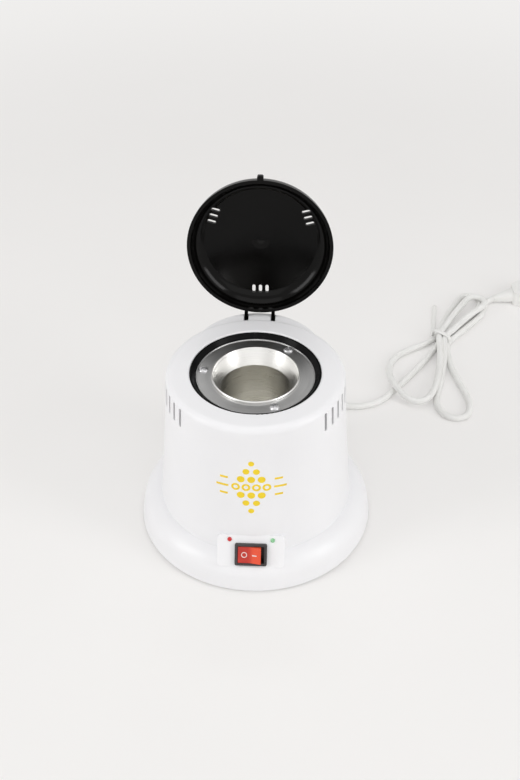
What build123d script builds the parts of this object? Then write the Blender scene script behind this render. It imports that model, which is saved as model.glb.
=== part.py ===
from build123d import *
from math import asin, cos, hypot, pi, radians, sin, tan
import os

os.makedirs("parts", exist_ok=True)

# Millimetres. Origin on the bench under the middle of the round body.
# +Z is up, -Y is the front with the switch, +Y is the back with the hinge.

# Housing
base_radius = 80.0
housing_foot = 1.6
top_height = 123.1
wall = 2.4
neck_radius = 58.4
neck_mid_radius = 61.4
neck_mid_height = 70.0
shoulder_round = 4.6
crease_radius = 65.6
crease_height = 23.4
skirt_round = 15.4
knee_inset = 1.6
knee_height = 11.5
opening_radius = 42.7
opening_edge = 0.9
thread_gap = 0.05

# Hinge
hinge_inset = 2.7
hinge_drop = 4.8
hinge_y = neck_radius - hinge_inset
hinge_z = top_height - hinge_drop
pin_radius = 1.25
running_gap = 0.05
open_angle = 95.4
lug_spacing = 18.4
lug_thickness = 2.4
lug_gap = 0.4
knuckle_radius = 2.6
hump_radius = 43.6
hump_inset = 31.2
hump_drop = 1.9
hump_height = 29.2
hump_centre_y = hinge_y - hump_inset
hump_top = top_height - hump_drop
hump_foot = hump_top - hump_height
ear_length = 3.4
stop_gap = 0.25

# Lid
lid_radius = 48.5
lid_height = 14.6
lid_wall = 2.2
lid_crown_radius = 40.0
lid_crown_rise = 1.5
lid_band = 2.6
lid_draft = 0.3
lid_round = 12.0
lid_lift = 0.3
lid_slot_width = 2.2
lid_slot_length = 5.9
lid_slot_pitch = 4.5
lid_slot_circle = 36.0
lid_slot_lean = 12.0
tab_width = 4.2
tab_reach = 3.0

# Switch panel on the front of the skirt
pad_top_y = 64.0
pad_top_z = 37.0
pad_tilt = 28.6
pad_width = 44.0
pad_above = 12.8
pad_below = 8.8
pad_corner = 2.6
switch_drop = 12.5
bezel_length = 21.0
bezel_width = 15.0
bezel_height = 2.0
switch_body_length = 18.8
switch_body_width = 12.8
switch_body_depth = 16.0
panel_gap = 0.2
rocker_length = 15.2
rocker_width = 10.8
rocker_throw = 10.0
rocker_pivot_depth = 1.5
rocker_pin_radius = 1.1
rocker_gap = 0.3
lamp_radius = 1.5
lamp_spacing = 28.0
lamp_rise = 9.8
lamp_flange_radius = 1.9
lamp_dome = 1.1

# Side vents
vent_count = 6
vent_pitch = 7.2
vent_first = -3.0
vent_width = 2.3
vent_length = 14.0
vent_drop = 3.1
vent_middle = top_height - vent_drop - vent_length / 2

# Collar, plate and crucible
collar_gap = 0.3
collar_flange_inset = 8.8
collar_flange_radius = neck_radius - collar_flange_inset
collar_flange = 2.5
plate_radius = 38.5
plate_recess = 4.0
plate_height = top_height - plate_recess
plate_thickness = 1.2
plate_screw_inset = 4.1
plate_screw_circle = plate_radius - plate_screw_inset
plate_screw_radius = 1.5
plate_screw_head = 3.3
plate_screw_azimuths = [53.5, 173.3, 293.0]
shelf_thickness = 2.0
shelf_inner_radius = 31.0
boss_radius = 3.2
boss_depth = 9.0
bore_radius = 22.8
cone_depth = 9.4
bore_top = plate_height - cone_depth
bore_floor = 52.0
pot_wall = 2.0
pot_floor = 2.5
pot_lip_radius = 28.8
pot_lip_height = 1.6
pot_lip_top = plate_height + pot_lip_height
floor_round = 4.0

# Heater unit
band_thickness = 2.0
band_foot_gap = 6.0
band_top_gap = 7.7
band_bottom = bore_floor + band_foot_gap
band_top = bore_top - band_top_gap
band_split = 6.0
sleeve_gap = 1.9
disc_thickness = 12.8
can_inset = 4.6
can_radius = collar_flange_radius - can_inset
can_wall = 0.7
can_bottom = bore_floor - pot_floor - disc_thickness - can_wall
can_flange = 0.8
can_screw_reach = 3.4
can_screw_circle = collar_flange_radius + can_screw_reach
can_screw_radius = 1.4
can_screw_length = 3.6
small_head_radius = 2.7
small_head_height = 1.8
can_screw_azimuths = [30.0, 150.0, 270.0]

# Base
base_plate_bottom = 2.6
base_plate_thickness = 2.2
base_plate_gap = 0.5
foot_radius = 7.0
foot_inset = 22.0
foot_circle = base_radius - foot_inset
post_radius = 3.4
post_inset = 5.3
post_circle = (base_radius + crease_radius) / 2 - post_inset
post_cover = 0.5
post_azimuths = [45.0, 135.0, 225.0, 315.0]
base_screw_radius = 1.4
base_screw_length = 7.0
base_screw_head = 3.0
base_screw_head_height = 1.6
ring_gap = 60.0
ring_height = 4.0
floor_vent_circle = 38.0
floor_vent_count = 12
floor_vent_length = 16.0

# Inside the base
thermostat_y = -8.0
thermostat_screw_reach = 13.5
fuse_y = 16.0
board_depth = 8.0
wire_radius = 0.9

# Mains lead
cord_radius = 2.6
gland_height = 13.0
gland_seat_inset = 3.4
gland_reach = 18.4
gland_depth = 8.1
gland_seat_y = base_radius - gland_seat_inset
gland_end_y = gland_seat_y + gland_reach
gland_tail_y = gland_seat_y - gland_depth
clamp_y = gland_tail_y - 5.0
tail_end_y = clamp_y - 5.5
block_y = clamp_y - 19.5
gland_flange_radius = 6.8
gland_hole_radius = 4.6
clamp_width = 24.0
clamp_depth = 7.0
clamp_top = gland_height + cord_radius + 2.0
clamp_screw_reach = 8.5
clamp_screw_radius = 1.25
clamp_screw_length = 8.0
hank_floor = 0.2
hank_height = 10.6
tie_x = 147.0
tie_y = 197.6
tie_radius = 8.0
tie_width = 5.0
tie_thickness = 1.2
tie_heading = 53.0
plug_x = 198.3
plug_y = 260.9
plug_heading = 8.5
plug_thickness = 13.4
plug_width = 25.2
plug_length = 34.0
boot_length = 17.0
pin_length = 19.0
plug_pin_radius = 2.0
plug_pin_spacing = 18.6

# Derived values
skirt_knee_radius = base_radius - knee_inset
pocket_half = lug_spacing / 2 + lug_thickness / 2 + lug_gap
tilt = radians(pad_tilt)
pad_normal = (0, -cos(tilt), sin(tilt))
switch_y = -pad_top_y - switch_drop * sin(tilt)
switch_z = pad_top_z - switch_drop * cos(tilt)
pad_plane = Plane(origin=(0, switch_y, switch_z), x_dir=(1, 0, 0), z_dir=pad_normal)
gland_seat = Plane(origin=(0, gland_seat_y, gland_height), x_dir=(-1, 0, 0), z_dir=(0, 1, 0))
shelf_top = plate_height - plate_thickness
shelf_bottom = shelf_top - shelf_thickness
sleeve_top = shelf_bottom - boss_depth - sleeve_gap
roof = top_height - wall
collar_bottom = roof - collar_flange
pot_radius = bore_radius + pot_wall
pot_neck_radius = pot_lip_radius - 1.6
pot_bottom = bore_floor - pot_floor
can_floor = can_bottom + can_wall
base_plate_top = base_plate_bottom + base_plate_thickness
block_front = collar_flange_radius + 0.8
block_back = hinge_y + 6


# Outline of the round body in the XZ plane, moved inwards by inset.
# The flanks are arcs: a slightly hollow neck, a crease, and the domed skirt.
def body_outline(inset, foot):
    knee = (skirt_knee_radius - inset, knee_height)
    crease = (crease_radius - inset, crease_height - inset)
    neck = (neck_radius - inset, top_height - shoulder_round)
    shoulder = (neck_radius - shoulder_round, top_height - inset)
    with BuildLine() as outline:
        Line((0, foot), (base_radius - inset, foot))
        Line((base_radius - inset, foot), knee)
        RadiusArc(knee, crease, -(skirt_round - inset / 2))
        ThreePointArc(crease, (neck_mid_radius - inset, neck_mid_height), neck)
        RadiusArc(neck, shoulder, -(shoulder_round - inset))
        Line(shoulder, (0, top_height - inset))
        Line((0, top_height - inset), (0, foot))
    return outline.line


# Height of the skirt's outside at a radius between its knee and the crease
def skirt_height(radius):
    knee = Vector(skirt_knee_radius, knee_height)
    crease = Vector(crease_radius, crease_height)
    chord = crease - knee
    inward = Vector(-chord.Y, chord.X).normalized()
    centre = (knee + crease) / 2 + inward * (skirt_round ** 2 - (chord.length / 2) ** 2) ** 0.5
    return centre.Y + (skirt_round ** 2 - (radius - centre.X) ** 2) ** 0.5


# Housing: one moulding with the hinge hump, the switch panel and the vents
with BuildPart() as housing:
    with BuildSketch(Plane.XZ):
        with BuildLine():
            add(body_outline(0, housing_foot))
        make_face()
    revolve(axis=Axis.Z)
    # hump that carries the hinge, growing out of the back of the neck
    with BuildSketch(Plane.XY.offset(hump_foot)):
        with Locations((0, neck_radius - hump_radius - 1)):
            Circle(hump_radius)
    with BuildSketch(Plane.XY.offset(hump_top)):
        with Locations((0, hump_centre_y)):
            Circle(hump_radius)
    loft()
    hump_rim = housing.edges().filter_by(GeomType.CIRCLE).filter_by(
        lambda e: abs(e.radius - hump_radius) < 0.01 and e.center().Z > hump_top - 0.1)
    fillet(hump_rim, 2.0)
    # flat panel block: set into the neck at its top and proud of the skirt below
    pad_rise = (pad_above - pad_below) / 2
    pad_height = pad_above + pad_below
    with BuildSketch(pad_plane):
        with Locations((0, pad_rise)):
            RectangleRounded(pad_width, pad_height, pad_corner)
    extrude(amount=-12)
    with BuildSketch(pad_plane):
        with Locations((0, pad_rise)):
            RectangleRounded(pad_width, pad_height, pad_corner)
    extrude(amount=12, mode=Mode.SUBTRACT)
    # round flat seat for the cord's strain relief
    with BuildSketch(gland_seat):
        Circle(gland_flange_radius + 0.8)
    extrude(amount=-9)
    with BuildSketch(gland_seat):
        Circle(gland_flange_radius + 0.8)
    extrude(amount=6, mode=Mode.SUBTRACT)
    # inside of the shell
    with BuildSketch(Plane.XZ):
        with BuildLine():
            add(body_outline(wall, housing_foot - 1))
        make_face()
    revolve(axis=Axis.Z, mode=Mode.SUBTRACT)
    # hollow behind the panel, so that its face has the wall's thickness
    hollow_top = lamp_rise + lamp_flange_radius + panel_gap
    hollow_low = pad_below - wall
    with BuildSketch(pad_plane.offset(-wall)):
        with Locations((0, (hollow_top - hollow_low) / 2)):
            RectangleRounded(pad_width - 2 * wall, hollow_top + hollow_low, 1.0)
    extrude(amount=-14, mode=Mode.SUBTRACT)
    with BuildSketch(pad_plane):
        Rectangle(switch_body_length + 2 * panel_gap, switch_body_width + 2 * panel_gap)
        with Locations((-lamp_spacing / 2, lamp_rise), (lamp_spacing / 2, lamp_rise)):
            Circle(lamp_radius)
    extrude(amount=-12, mode=Mode.SUBTRACT)
    # round opening in the top, with a softened edge
    with BuildSketch(Plane.XY.offset(top_height)):
        Circle(opening_radius)
    extrude(amount=-wall - 1, mode=Mode.SUBTRACT)
    opening_rim = housing.edges().filter_by(GeomType.CIRCLE).filter_by(
        lambda e: abs(e.radius - opening_radius) < 0.01 and e.center().Z > top_height - 0.1)
    fillet(opening_rim, opening_edge)
    # hinge block under the roof
    with BuildSketch(Plane.XY.offset(roof + 0.5)):
        with Locations((0, (block_front + block_back) / 2)):
            Rectangle(2 * (pocket_half + ear_length), block_back - block_front)
    extrude(amount=-(roof + 0.5 - (hinge_z - knuckle_radius - 3.0)))
    # bosses for the can's screws and posts for the base screws
    for azimuth in can_screw_azimuths:
        with BuildSketch(Plane.XY.offset(roof + 0.5)):
            with PolarLocations(can_screw_circle, 1, start_angle=azimuth):
                Circle(3.0)
        extrude(amount=-(roof + 0.5 - collar_bottom))
    post_top = min(crease_height, skirt_height(post_circle + post_radius)) - post_cover
    for azimuth in post_azimuths:
        with BuildSketch(Plane.XY.offset(base_plate_top)):
            with PolarLocations(post_circle, 1, start_angle=azimuth):
                Circle(post_radius)
        extrude(amount=post_top - base_plate_top)
    with BuildSketch(Plane.XY.offset(base_plate_top)):
        for azimuth in post_azimuths:
            with PolarLocations(post_circle, 1, start_angle=azimuth):
                Circle(base_screw_radius + thread_gap)
    extrude(amount=base_screw_length + 4, mode=Mode.SUBTRACT)
    with BuildSketch(Plane.XY.offset(collar_bottom)):
        for azimuth in can_screw_azimuths:
            with PolarLocations(can_screw_circle, 1, start_angle=azimuth):
                Circle(can_screw_radius + thread_gap)
    extrude(amount=can_screw_length + 0.3, mode=Mode.SUBTRACT)
    # one slot for each lid lug, and the room for its knuckle under the roof
    lug_corner = hypot(knuckle_radius, top_height + 3.4 - hinge_z)
    slot_back = hinge_y + lug_corner + stop_gap
    slot_front = hinge_y - 0.3
    slot_floor = hinge_z - knuckle_radius - 1.2
    for side in (-1, 1):
        slot_plane = Plane((side * lug_spacing / 2, 0, 0), x_dir=(0, 1, 0), z_dir=(1, 0, 0))
        with BuildSketch(slot_plane):
            with BuildLine():
                Polyline((slot_front, top_height + 5), (slot_back, top_height + 5),
                         (slot_back, slot_floor), (slot_front, slot_floor), close=True)
            make_face()
            with Locations((hinge_y, hinge_z)):
                Circle(knuckle_radius + lug_gap)
        extrude(amount=lug_thickness / 2 + lug_gap, both=True, mode=Mode.SUBTRACT)
    # bore for the hinge pin, open at the right flank of the hump
    with BuildSketch(Plane((-pocket_half - ear_length + 0.6, hinge_y, hinge_z), z_dir=(1, 0, 0))):
        Circle(pin_radius)
    extrude(amount=80, mode=Mode.SUBTRACT)
    # cooling vents low on each shoulder
    for side in (-1, 1):
        for index in range(vent_count):
            angle = radians(vent_first - index * vent_pitch)
            outward = Vector(side * cos(angle), sin(angle), 0)
            vent_plane = Plane(origin=outward * (collar_flange_radius + 2) + Vector(0, 0, vent_middle),
                               x_dir=(-outward.Y, outward.X, 0), z_dir=outward)
            with BuildSketch(vent_plane):
                SlotOverall(vent_length, vent_width, rotation=90)
            extrude(amount=12, mode=Mode.SUBTRACT)
    # hole for the strain relief
    with BuildSketch(gland_seat.offset(1)):
        Circle(gland_hole_radius)
    extrude(amount=-12, mode=Mode.SUBTRACT)

# Base plate under the housing, with its vents, feet and screws
floor_slope = (base_plate_top - housing_foot + 1) / (knee_height - housing_foot + 1)
base_plate_radius = base_radius - wall - knee_inset * floor_slope - base_plate_gap
with BuildPart() as base_plate:
    with BuildSketch(Plane.XY.offset(base_plate_bottom)):
        Circle(base_plate_radius)
        for azimuth in post_azimuths:
            with PolarLocations(post_circle, 1, start_angle=azimuth):
                Circle(base_screw_radius + 0.3, mode=Mode.SUBTRACT)
        with PolarLocations(floor_vent_circle, floor_vent_count):
            SlotOverall(floor_vent_length, 2.6, mode=Mode.SUBTRACT)
    extrude(amount=base_plate_thickness)
    # ring that stiffens the plate inside the posts
    with BuildSketch(Plane.XY.offset(base_plate_top)):
        Circle(post_circle - post_radius - 1)
        Circle(post_circle - post_radius - 2.6, mode=Mode.SUBTRACT)
        with Locations((0, -post_circle), (0, post_circle)):
            Rectangle(ring_gap, ring_gap * 2 / 3, mode=Mode.SUBTRACT)
    extrude(amount=ring_height)

with BuildPart() as rubber_feet:
    with BuildSketch():
        with PolarLocations(foot_circle, 4):
            Circle(foot_radius)
    extrude(amount=base_plate_bottom)
    foot_edges = rubber_feet.edges().filter_by(GeomType.CIRCLE).group_by(Axis.Z)[0]
    chamfer(foot_edges, 0.5)

with BuildPart() as base_screws:
    for azimuth in post_azimuths:
        with BuildSketch(Plane.XY.offset(base_plate_bottom)):
            with PolarLocations(post_circle, 1, start_angle=azimuth):
                Circle(base_screw_radius)
        extrude(amount=base_plate_thickness + base_screw_length)
        with BuildSketch(Plane.XY.offset(base_plate_bottom)):
            with PolarLocations(post_circle, 1, start_angle=azimuth):
                Circle(base_screw_head)
        extrude(amount=-base_screw_head_height)

# Black insulating collar that carries the steel plate in the opening
collar_neck = opening_radius - collar_gap
seat_radius = plate_radius + 0.4
with BuildPart() as collar_ring:
    with BuildSketch(Plane.XZ):
        with BuildLine():
            Polyline((shelf_inner_radius, shelf_top), (seat_radius, shelf_top),
                     (seat_radius, plate_height + 0.4), (collar_neck - 1.0, top_height - 0.9),
                     (collar_neck, top_height - 0.9), (collar_neck, roof),
                     (collar_flange_radius, roof), (collar_flange_radius, collar_bottom),
                     (seat_radius + 3.6, collar_bottom), (seat_radius + 1.6, shelf_bottom),
                     (shelf_inner_radius, shelf_bottom), close=True)
        make_face()
    revolve(axis=Axis.Z)
    for azimuth in plate_screw_azimuths:
        with BuildSketch(Plane.XY.offset(shelf_bottom)):
            with PolarLocations(plate_screw_circle, 1, start_angle=azimuth):
                Circle(boss_radius)
        extrude(amount=-boss_depth)
        with BuildSketch(Plane.XY.offset(shelf_top)):
            with PolarLocations(plate_screw_circle, 1, start_angle=azimuth):
                Circle(plate_screw_radius + thread_gap)
        extrude(amount=-shelf_thickness - boss_depth + 1.5, mode=Mode.SUBTRACT)

# Steel plate round the crucible, with a thin turned-up edge
with BuildPart() as flange_plate:
    with BuildSketch(Plane.XZ):
        with BuildLine():
            Polyline((pot_neck_radius + 0.2, shelf_top), (plate_radius, shelf_top),
                     (plate_radius, plate_height + 0.5), (plate_radius - 0.45, plate_height + 0.5),
                     (plate_radius - 0.7, plate_height), (pot_neck_radius + 0.2, plate_height),
                     close=True)
        make_face()
    revolve(axis=Axis.Z)
    with BuildSketch(Plane.XY.offset(plate_height)):
        for azimuth in plate_screw_azimuths:
            with PolarLocations(plate_screw_circle, 1, start_angle=azimuth):
                Circle(plate_screw_radius + 0.2)
    extrude(amount=-plate_thickness, mode=Mode.SUBTRACT)

# Cross-head screws that hold the plate to the collar's bosses
with BuildPart() as plate_screws:
    for azimuth in plate_screw_azimuths:
        angle = radians(azimuth)
        outward = Vector(cos(angle), sin(angle), 0)
        screw_spot = outward * plate_screw_circle
        with BuildSketch(Plane(origin=screw_spot, x_dir=outward, z_dir=(outward.Y, -outward.X, 0))):
            with BuildLine():
                Polyline((0, plate_height + 1.6), (plate_screw_head - 2.2, plate_height + 1.55),
                         (plate_screw_head - 0.8, plate_height + 1.2),
                         (plate_screw_head - 0.1, plate_height + 0.5), (plate_screw_head, plate_height),
                         (plate_screw_radius, plate_height), (plate_screw_radius, plate_height - 8),
                         (0, plate_height - 8), close=True)
            make_face()
        revolve(axis=Axis(screw_spot, (0, 0, 1)))
        cross_plane = Plane(origin=screw_spot + Vector(0, 0, plate_height + 1.7), z_dir=(0, 0, 1))
        with BuildSketch(cross_plane):
            Rectangle(3.6, 0.8, rotation=azimuth + 34)
            Rectangle(0.8, 3.6, rotation=azimuth + 34)
        extrude(amount=-1.2, mode=Mode.SUBTRACT)

# Crucible: a deep round pot whose mouth opens in a cone to a thin lip
with BuildPart() as crucible:
    with BuildSketch(Plane.XZ):
        with BuildLine():
            Polyline((0, pot_bottom), (pot_radius, pot_bottom), (pot_radius, bore_top - 0.8),
                     (pot_neck_radius, bore_top + 5.2), (pot_neck_radius, plate_height),
                     (pot_lip_radius, plate_height), (pot_lip_radius, pot_lip_top - 0.5),
                     (pot_lip_radius - 0.5, pot_lip_top), (pot_lip_radius - 0.9, pot_lip_top),
                     (bore_radius, bore_top), (bore_radius, bore_floor), (0, bore_floor), close=True)
        make_face()
    revolve(axis=Axis.Z)
    floor_edge = crucible.edges().filter_by(GeomType.CIRCLE).filter_by(
        lambda e: abs(e.radius - bore_radius) < 0.01 and abs(e.center().Z - bore_floor) < 0.01)
    fillet(floor_edge, floor_round)

# Split mica band heater round the pot, its two lugs and clamp screw at the back
band_inner = pot_radius + 0.1
band_outer = band_inner + band_thickness
lug_top = (band_bottom + band_top) / 2 + 6
with BuildPart() as heater_band:
    with BuildSketch(Plane.XY.offset(band_bottom)):
        Circle(band_outer)
        Circle(band_inner, mode=Mode.SUBTRACT)
        with Locations((0, band_outer)):
            Rectangle(band_split - 2, 12, mode=Mode.SUBTRACT)
    extrude(amount=band_top - band_bottom)
    with BuildSketch(Plane.XY.offset(lug_top - 12)):
        with Locations((-(band_split - 1) / 2, band_outer + 3.5), ((band_split - 1) / 2, band_outer + 3.5)):
            Rectangle(1.0, 9.0)
    extrude(amount=12)
    with BuildSketch(Plane((-10, band_outer + 4.5, lug_top - 5), z_dir=(1, 0, 0))):
        Circle(1.6)
    extrude(amount=20, mode=Mode.SUBTRACT)

with BuildPart() as band_screw:
    head_x = -band_split / 2
    with BuildSketch(Plane((head_x, band_outer + 4.5, lug_top - 5), z_dir=(1, 0, 0))):
        Circle(1.45)
    extrude(amount=band_split + 3.5)
    with BuildSketch(Plane((head_x, band_outer + 4.5, lug_top - 5), z_dir=(1, 0, 0))):
        Circle(small_head_radius)
    extrude(amount=-small_head_height)
    with BuildSketch(Plane((band_split / 2, band_outer + 4.5, lug_top - 5), z_dir=(1, 0, 0))):
        RegularPolygon(2.9, 6)
    extrude(amount=2.2)

# Insulation round and under the pot, inside the steel can
sleeve_inner = band_outer + 0.8
sleeve_outer = can_radius - can_wall - 0.3
lead_y = band_outer + 6.5
with BuildPart() as insulation_sleeve:
    with BuildSketch(Plane.XY.offset(pot_bottom)):
        Circle(sleeve_outer)
        Circle(sleeve_inner, mode=Mode.SUBTRACT)
        with Locations((0, sleeve_inner + 5)):
            Rectangle(18, 14, mode=Mode.SUBTRACT)
    extrude(amount=sleeve_top - pot_bottom)

with BuildPart() as insulation_disc:
    with BuildSketch(Plane.XY.offset(can_floor)):
        Circle(sleeve_outer)
        with Locations((0, lead_y)):
            Circle(4.2, mode=Mode.SUBTRACT)
    extrude(amount=pot_bottom - can_floor)

with BuildPart() as heat_shield:
    with BuildSketch(Plane.XZ):
        with BuildLine():
            Polyline((0, can_bottom), (can_radius, can_bottom), (can_radius, collar_bottom - can_flange),
                     (collar_flange_radius + 0.4, collar_bottom - can_flange),
                     (collar_flange_radius + 0.4, collar_bottom), (can_radius - can_wall, collar_bottom),
                     (can_radius - can_wall, can_floor), (0, can_floor), close=True)
        make_face()
    revolve(axis=Axis.Z)
    for azimuth in can_screw_azimuths:
        with BuildSketch(Plane.XY.offset(collar_bottom - can_flange)):
            with PolarLocations(can_screw_circle - 1.2, 1, start_angle=azimuth):
                SlotOverall(7.4, 6.0)
            with PolarLocations(can_screw_circle, 1, start_angle=azimuth):
                Circle(1.6, mode=Mode.SUBTRACT)
        extrude(amount=can_flange)
    with BuildSketch(Plane.XY.offset(can_floor)):
        with Locations((0, lead_y)):
            Circle(4.2)
        with Locations((-thermostat_screw_reach, thermostat_y), (thermostat_screw_reach, thermostat_y)):
            Circle(1.6)
    extrude(amount=-can_wall, mode=Mode.SUBTRACT)

with BuildPart() as can_screws:
    for azimuth in can_screw_azimuths:
        with BuildSketch(Plane.XY.offset(collar_bottom - can_flange)):
            with PolarLocations(can_screw_circle, 1, start_angle=azimuth):
                Circle(can_screw_radius)
        extrude(amount=can_flange + can_screw_length)
        with BuildSketch(Plane.XY.offset(collar_bottom - can_flange)):
            with PolarLocations(can_screw_circle, 1, start_angle=azimuth):
                Circle(small_head_radius)
        extrude(amount=-small_head_height)

# Bimetal thermostat pressed up against the can's floor by a folded strap
with BuildPart() as thermostat:
    with BuildSketch(Plane.XY.offset(can_bottom)):
        with Locations((0, thermostat_y)):
            Circle(8.2)
    extrude(amount=-3.5)
    with BuildSketch(Plane.XY.offset(can_bottom - 3.5)):
        with Locations((0, thermostat_y)):
            Circle(7.6)
    extrude(amount=-7.0)
    with BuildSketch(Plane.XY.offset(can_bottom - 10.5)):
        with Locations((-4, thermostat_y), (4, thermostat_y)):
            Rectangle(0.8, 6.3)
    extrude(amount=-6.5)

with BuildPart() as thermostat_strap:
    with BuildSketch(Plane.XY.offset(can_bottom - 3.5)):
        with Locations((0, thermostat_y)):
            SlotOverall(2 * thermostat_screw_reach + 8, 8)
            Circle(10.2)
            Circle(7.8, mode=Mode.SUBTRACT)
    extrude(amount=-0.8)
    with BuildSketch(Plane.XY.offset(can_bottom - 3.5)):
        with Locations((-thermostat_screw_reach, thermostat_y), (thermostat_screw_reach, thermostat_y)):
            Circle(3.2)
    extrude(amount=3.5)
    with BuildSketch(Plane.XY.offset(can_bottom)):
        with Locations((-thermostat_screw_reach, thermostat_y), (thermostat_screw_reach, thermostat_y)):
            Circle(1.6)
    extrude(amount=-5, mode=Mode.SUBTRACT)

with BuildPart() as strap_screws:
    for side in (-1, 1):
        with BuildSketch(Plane.XY.offset(can_floor)):
            with Locations((side * thermostat_screw_reach, thermostat_y)):
                Circle(1.5)
        extrude(amount=-can_wall - 4.3)
        with BuildSketch(Plane.XY.offset(can_bottom - 4.3)):
            with Locations((side * thermostat_screw_reach, thermostat_y)):
                Circle(small_head_radius)
        extrude(amount=-small_head_height)

# Thermal fuse and its saddle on the can's floor
with BuildPart() as thermal_fuse:
    with BuildSketch(Plane((-6, fuse_y, can_bottom - 2.2), z_dir=(1, 0, 0))):
        Circle(2.0)
    extrude(amount=12)
    with BuildSketch(Plane((-16, fuse_y, can_bottom - 2.2), z_dir=(1, 0, 0))):
        Circle(0.5)
    extrude(amount=32)

with BuildPart() as fuse_saddle:
    with BuildSketch(Plane((-3, fuse_y, can_bottom), x_dir=(0, 1, 0), z_dir=(1, 0, 0))):
        with Locations((0, -2.3)):
            Rectangle(7.0, 4.6)
        with Locations((0, -2.2)):
            Circle(2.05, mode=Mode.SUBTRACT)
    extrude(amount=6)

# Rocker switch: snap-in body with its bezel, the rocker and two blades
rocker_crest = bezel_height + 0.2 + rocker_pivot_depth
rocker_horn = rocker_crest + rocker_length / 2 * tan(radians(rocker_throw))
tip_radius = hypot(rocker_length / 2, rocker_horn)
tip_angle = asin(rocker_horn / tip_radius) - radians(rocker_throw)
window_length = 2 * (tip_radius * cos(tip_angle) + rocker_gap)
window_width = rocker_width + 2 * rocker_gap
rocker_plane = Plane(origin=pad_plane.offset(-rocker_pivot_depth).origin, x_dir=(1, 0, 0),
                     z_dir=(0, -sin(tilt), -cos(tilt)))
throw = radians(rocker_throw)
rocked_plane = Plane(origin=rocker_plane.origin, z_dir=rocker_plane.z_dir,
                     x_dir=(cos(throw), -sin(throw) * cos(tilt), sin(throw) * sin(tilt)))
with BuildPart() as switch_body:
    with BuildSketch(pad_plane):
        RectangleRounded(bezel_length, bezel_width, 1.2)
    extrude(amount=bezel_height)
    bezel_edges = switch_body.faces().sort_by(Axis(pad_plane.origin, pad_plane.z_dir))[-1].edges()
    fillet(bezel_edges, 0.6)
    with BuildSketch(pad_plane):
        Rectangle(switch_body_length, switch_body_width)
    extrude(amount=-switch_body_depth)
    with BuildSketch(pad_plane.offset(-wall - 0.1)):
        Rectangle(switch_body_length + 1.4, 5.0)
    extrude(amount=-2.4)
    with BuildSketch(pad_plane.offset(bezel_height)):
        Rectangle(window_length, window_width)
    extrude(amount=-bezel_height - 6.5, mode=Mode.SUBTRACT)
    with BuildSketch(rocker_plane):
        Circle(rocker_pin_radius + running_gap)
    extrude(amount=switch_body_width / 2 - 0.2, both=True, mode=Mode.SUBTRACT)

with BuildPart() as switch_rocker:
    with BuildSketch(rocked_plane):
        with BuildLine():
            Polyline((-rocker_length / 2, rocker_horn), (0, rocker_crest), (rocker_length / 2, rocker_horn),
                     (rocker_length / 2 - 1.0, -0.4), (2.6, -2.6), (-2.6, -2.6),
                     (-rocker_length / 2 + 1.0, -0.4), close=True)
        make_face()
    extrude(amount=rocker_width / 2, both=True)
    with BuildSketch(rocker_plane):
        Circle(rocker_pin_radius)
    extrude(amount=switch_body_width / 2 - 0.35, both=True)

with BuildPart() as switch_blades:
    with BuildSketch(pad_plane.offset(-switch_body_depth)):
        with Locations((-4.8, 0), (4.8, 0)):
            Rectangle(0.8, 6.3)
    extrude(amount=-8)

# Indicator lamps and their small board
def lamp(side):
    lens_x = side * lamp_spacing / 2
    with BuildPart() as body:
        with BuildSketch(pad_plane.offset(-wall)):
            with Locations((lens_x, lamp_rise)):
                Circle(lamp_radius - thread_gap)
        extrude(amount=wall + lamp_dome)
        dome_edges = body.edges().filter_by(GeomType.CIRCLE)
        fillet(dome_edges.sort_by(Axis(pad_plane.origin, pad_plane.z_dir))[-1], 0.9)
        with BuildSketch(pad_plane.offset(-wall)):
            with Locations((lens_x, lamp_rise)):
                Circle(lamp_flange_radius)
        extrude(amount=-1.2)
        with BuildSketch(pad_plane.offset(-wall - 1.2)):
            with Locations((lens_x - 0.8, lamp_rise), (lens_x + 0.8, lamp_rise)):
                Rectangle(0.5, 0.5)
        extrude(amount=-board_depth + wall + 1.2)
    return body


red_lamp = lamp(-1)
green_lamp = lamp(1)

with BuildPart() as lamp_board:
    with BuildSketch(pad_plane.offset(-board_depth)):
        with Locations((0, lamp_rise)):
            RectangleRounded(lamp_spacing + 4, 5.4, 0.6)
    extrude(amount=-1.2)

# Lid: a shallow round cap with three groups of vents and two hinge lugs.
# Its frame has x across, y from the rim's centre towards the hinge, z out of its crown.
open_turn = radians(open_angle)
rim_height = top_height + lid_lift
arm_y = -hinge_y * cos(open_turn) + (rim_height - hinge_z) * sin(open_turn)
arm_z = hinge_y * sin(open_turn) + (rim_height - hinge_z) * cos(open_turn)
lid_origin = (0, hinge_y + arm_y, hinge_z + arm_z)
lid_crown = (0, sin(open_turn), cos(open_turn))
lid_back = (0, cos(open_turn), -sin(open_turn))
lid_plane = Plane(origin=lid_origin, x_dir=(1, 0, 0), z_dir=lid_crown)
lid_section = Plane(origin=lid_origin, x_dir=(1, 0, 0), z_dir=(0, -lid_back[1], -lid_back[2]))
lug_section = Plane(origin=lid_origin, x_dir=lid_back, z_dir=(1, 0, 0))
lid_axis = Axis(lid_origin, lid_crown)


def cap_outline(inset, foot):
    band_top = (lid_radius - lid_draft - inset, lid_band)
    crown_edge = (lid_crown_radius - inset, lid_height - lid_crown_rise - inset)
    crown_sphere = (crown_edge[0] ** 2 + lid_crown_rise ** 2) / (2 * lid_crown_rise)
    with BuildLine() as outline:
        Line((0, foot), (lid_radius - inset, foot))
        Line((lid_radius - inset, foot), band_top)
        RadiusArc(band_top, crown_edge, -lid_round)
        RadiusArc(crown_edge, (0, lid_height - inset), -crown_sphere)
        Line((0, lid_height - inset), (0, foot))
    return outline.line


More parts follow.
